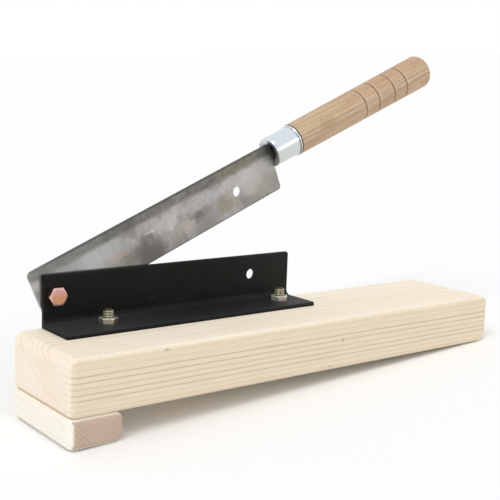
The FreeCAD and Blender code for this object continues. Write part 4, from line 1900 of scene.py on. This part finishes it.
@dataclass(frozen=True)
class Studio:
    """Pale floor, soft plain light and the camera."""

    camera_place: Triple = (-0.4927228, -0.617805, 0.263281)
    azimuth: float = -37.41317
    elevation: float = 11.48432
    roll: float = -0.59855
    lens: float = 72.126
    sensor: float = 36.0
    lens_shift: Pair = (-0.0015, 0.0)
    seen_from: float = 0.01
    seen_to: float = 200.0
    floor_half: float = 30.0
    floor_level: float = 0.92
    sky: float = 0.72
    lamps: tuple[Lamp, ...] = (Lamp("broad_sun", 0.32, (-0.53, -0.27, 0.80), 28.0),
                               Lamp("low_strip", 0.05, (0.50, -0.82, 0.29), 9.0))

    def seen_directly(self, mixer: Mixer, otherwise: float) -> Term:
        """1 for rays that see the background itself or by a mirror or glass.

        Args:
            mixer: The tree to add it to.
            otherwise: The value for other rays.

        Returns:
            The value.
        """
        path = mixer.add("ShaderNodeLightPath")
        camera, glossy, clear = (mixer.term(path, name) for name in
                                 ("Is Camera Ray", "Is Glossy Ray", "Is Transmission Ray"))
        return (camera + glossy + clear).at_most(1.0) * (1.0 - otherwise) + otherwise

    def light(self) -> None:
        """Set the sky and the lamps."""
        world = bpy.data.worlds.new("soft_sky")
        mixer = Mixer(empty_tree(world))
        strength = self.seen_directly(mixer, self.sky)
        sky = mixer.get("ShaderNodeBackground", [paint((255, 255, 255)), strength])
        mixer.add("ShaderNodeOutputWorld", [sky])
        bpy.context.scene.world = world
        for lamp in self.lamps:
            light = bpy.data.lights.new(lamp.name, "SUN")
            light.energy = lamp.share * math.pi
            light.angle = math.radians(lamp.width)
            holder = in_scene(lamp.name, light)
            holder.rotation_mode = "QUATERNION"
            holder.rotation_quaternion = Vector(lamp.toward).to_track_quat("Z", "Y")

    def floor(self) -> None:
        """Lay the floor that the cutter stands on."""
        half = self.floor_half
        mesh = bpy.data.meshes.new("pale_floor")
        mesh.from_pydata([(-half, -half, 0.0), (half, -half, 0.0), (half, half, 0.0), (-half, half, 0.0)],
                         [], [(0, 1, 2, 3)])
        material = bpy.data.materials.new("floor_paper")
        mixer = Mixer(empty_tree(material))
        level = self.seen_directly(mixer, self.floor_level)
        shader = mixer.get("ShaderNodeBsdfDiffuse", [mixer.vector(level, level, level)])
        mixer.add("ShaderNodeOutputMaterial", [shader])
        mesh.materials.append(material)
        floor = in_scene("pale_floor", mesh)

    def camera(self) -> None:
        """Stand the camera."""
        lens = bpy.data.cameras.new("camera")
        lens.lens, lens.sensor_width = self.lens, self.sensor
        lens.shift_x, lens.shift_y = self.lens_shift
        lens.clip_start, lens.clip_end = self.seen_from, self.seen_to
        around, up = math.radians(self.azimuth), math.radians(self.elevation)
        back = Vector((math.sin(around) * math.cos(up), -math.cos(around) * math.cos(up), math.sin(up)))
        camera = in_scene("camera", lens)
        camera.rotation_mode = "QUATERNION"
        level = back.to_track_quat("Z", "Y")
        camera.rotation_quaternion = level @ Quaternion(ALONG_Z, math.radians(self.roll))
        camera.location = self.camera_place
        bpy.context.scene.camera = camera

    def build(self) -> None:
        """Set up light, floor and camera."""
        bpy.context.scene.view_settings.view_transform = "Standard"
        self.light()
        self.floor()
        self.camera()


def main() -> None:
    """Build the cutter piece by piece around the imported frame, then the studio."""
    logging.basicConfig(level=logging.INFO, format="%(name)s: %(message)s")
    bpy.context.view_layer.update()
    wood, angle, knife, set_out = BoardAndFoot(), RolledAngle(), Knife(), SetOut()
    frames = Frames.from_record(frame, wood.length, wood.thickness)
    wood.build(frames, angle.bolt_places, set_out)
    angle.build(frames, knife.lock_spacing)
    Hardware().build(frames, angle, set_out)
    knife.build(frames)
    Studio().build()
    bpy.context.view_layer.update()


if __name__ == "__main__":
    main()
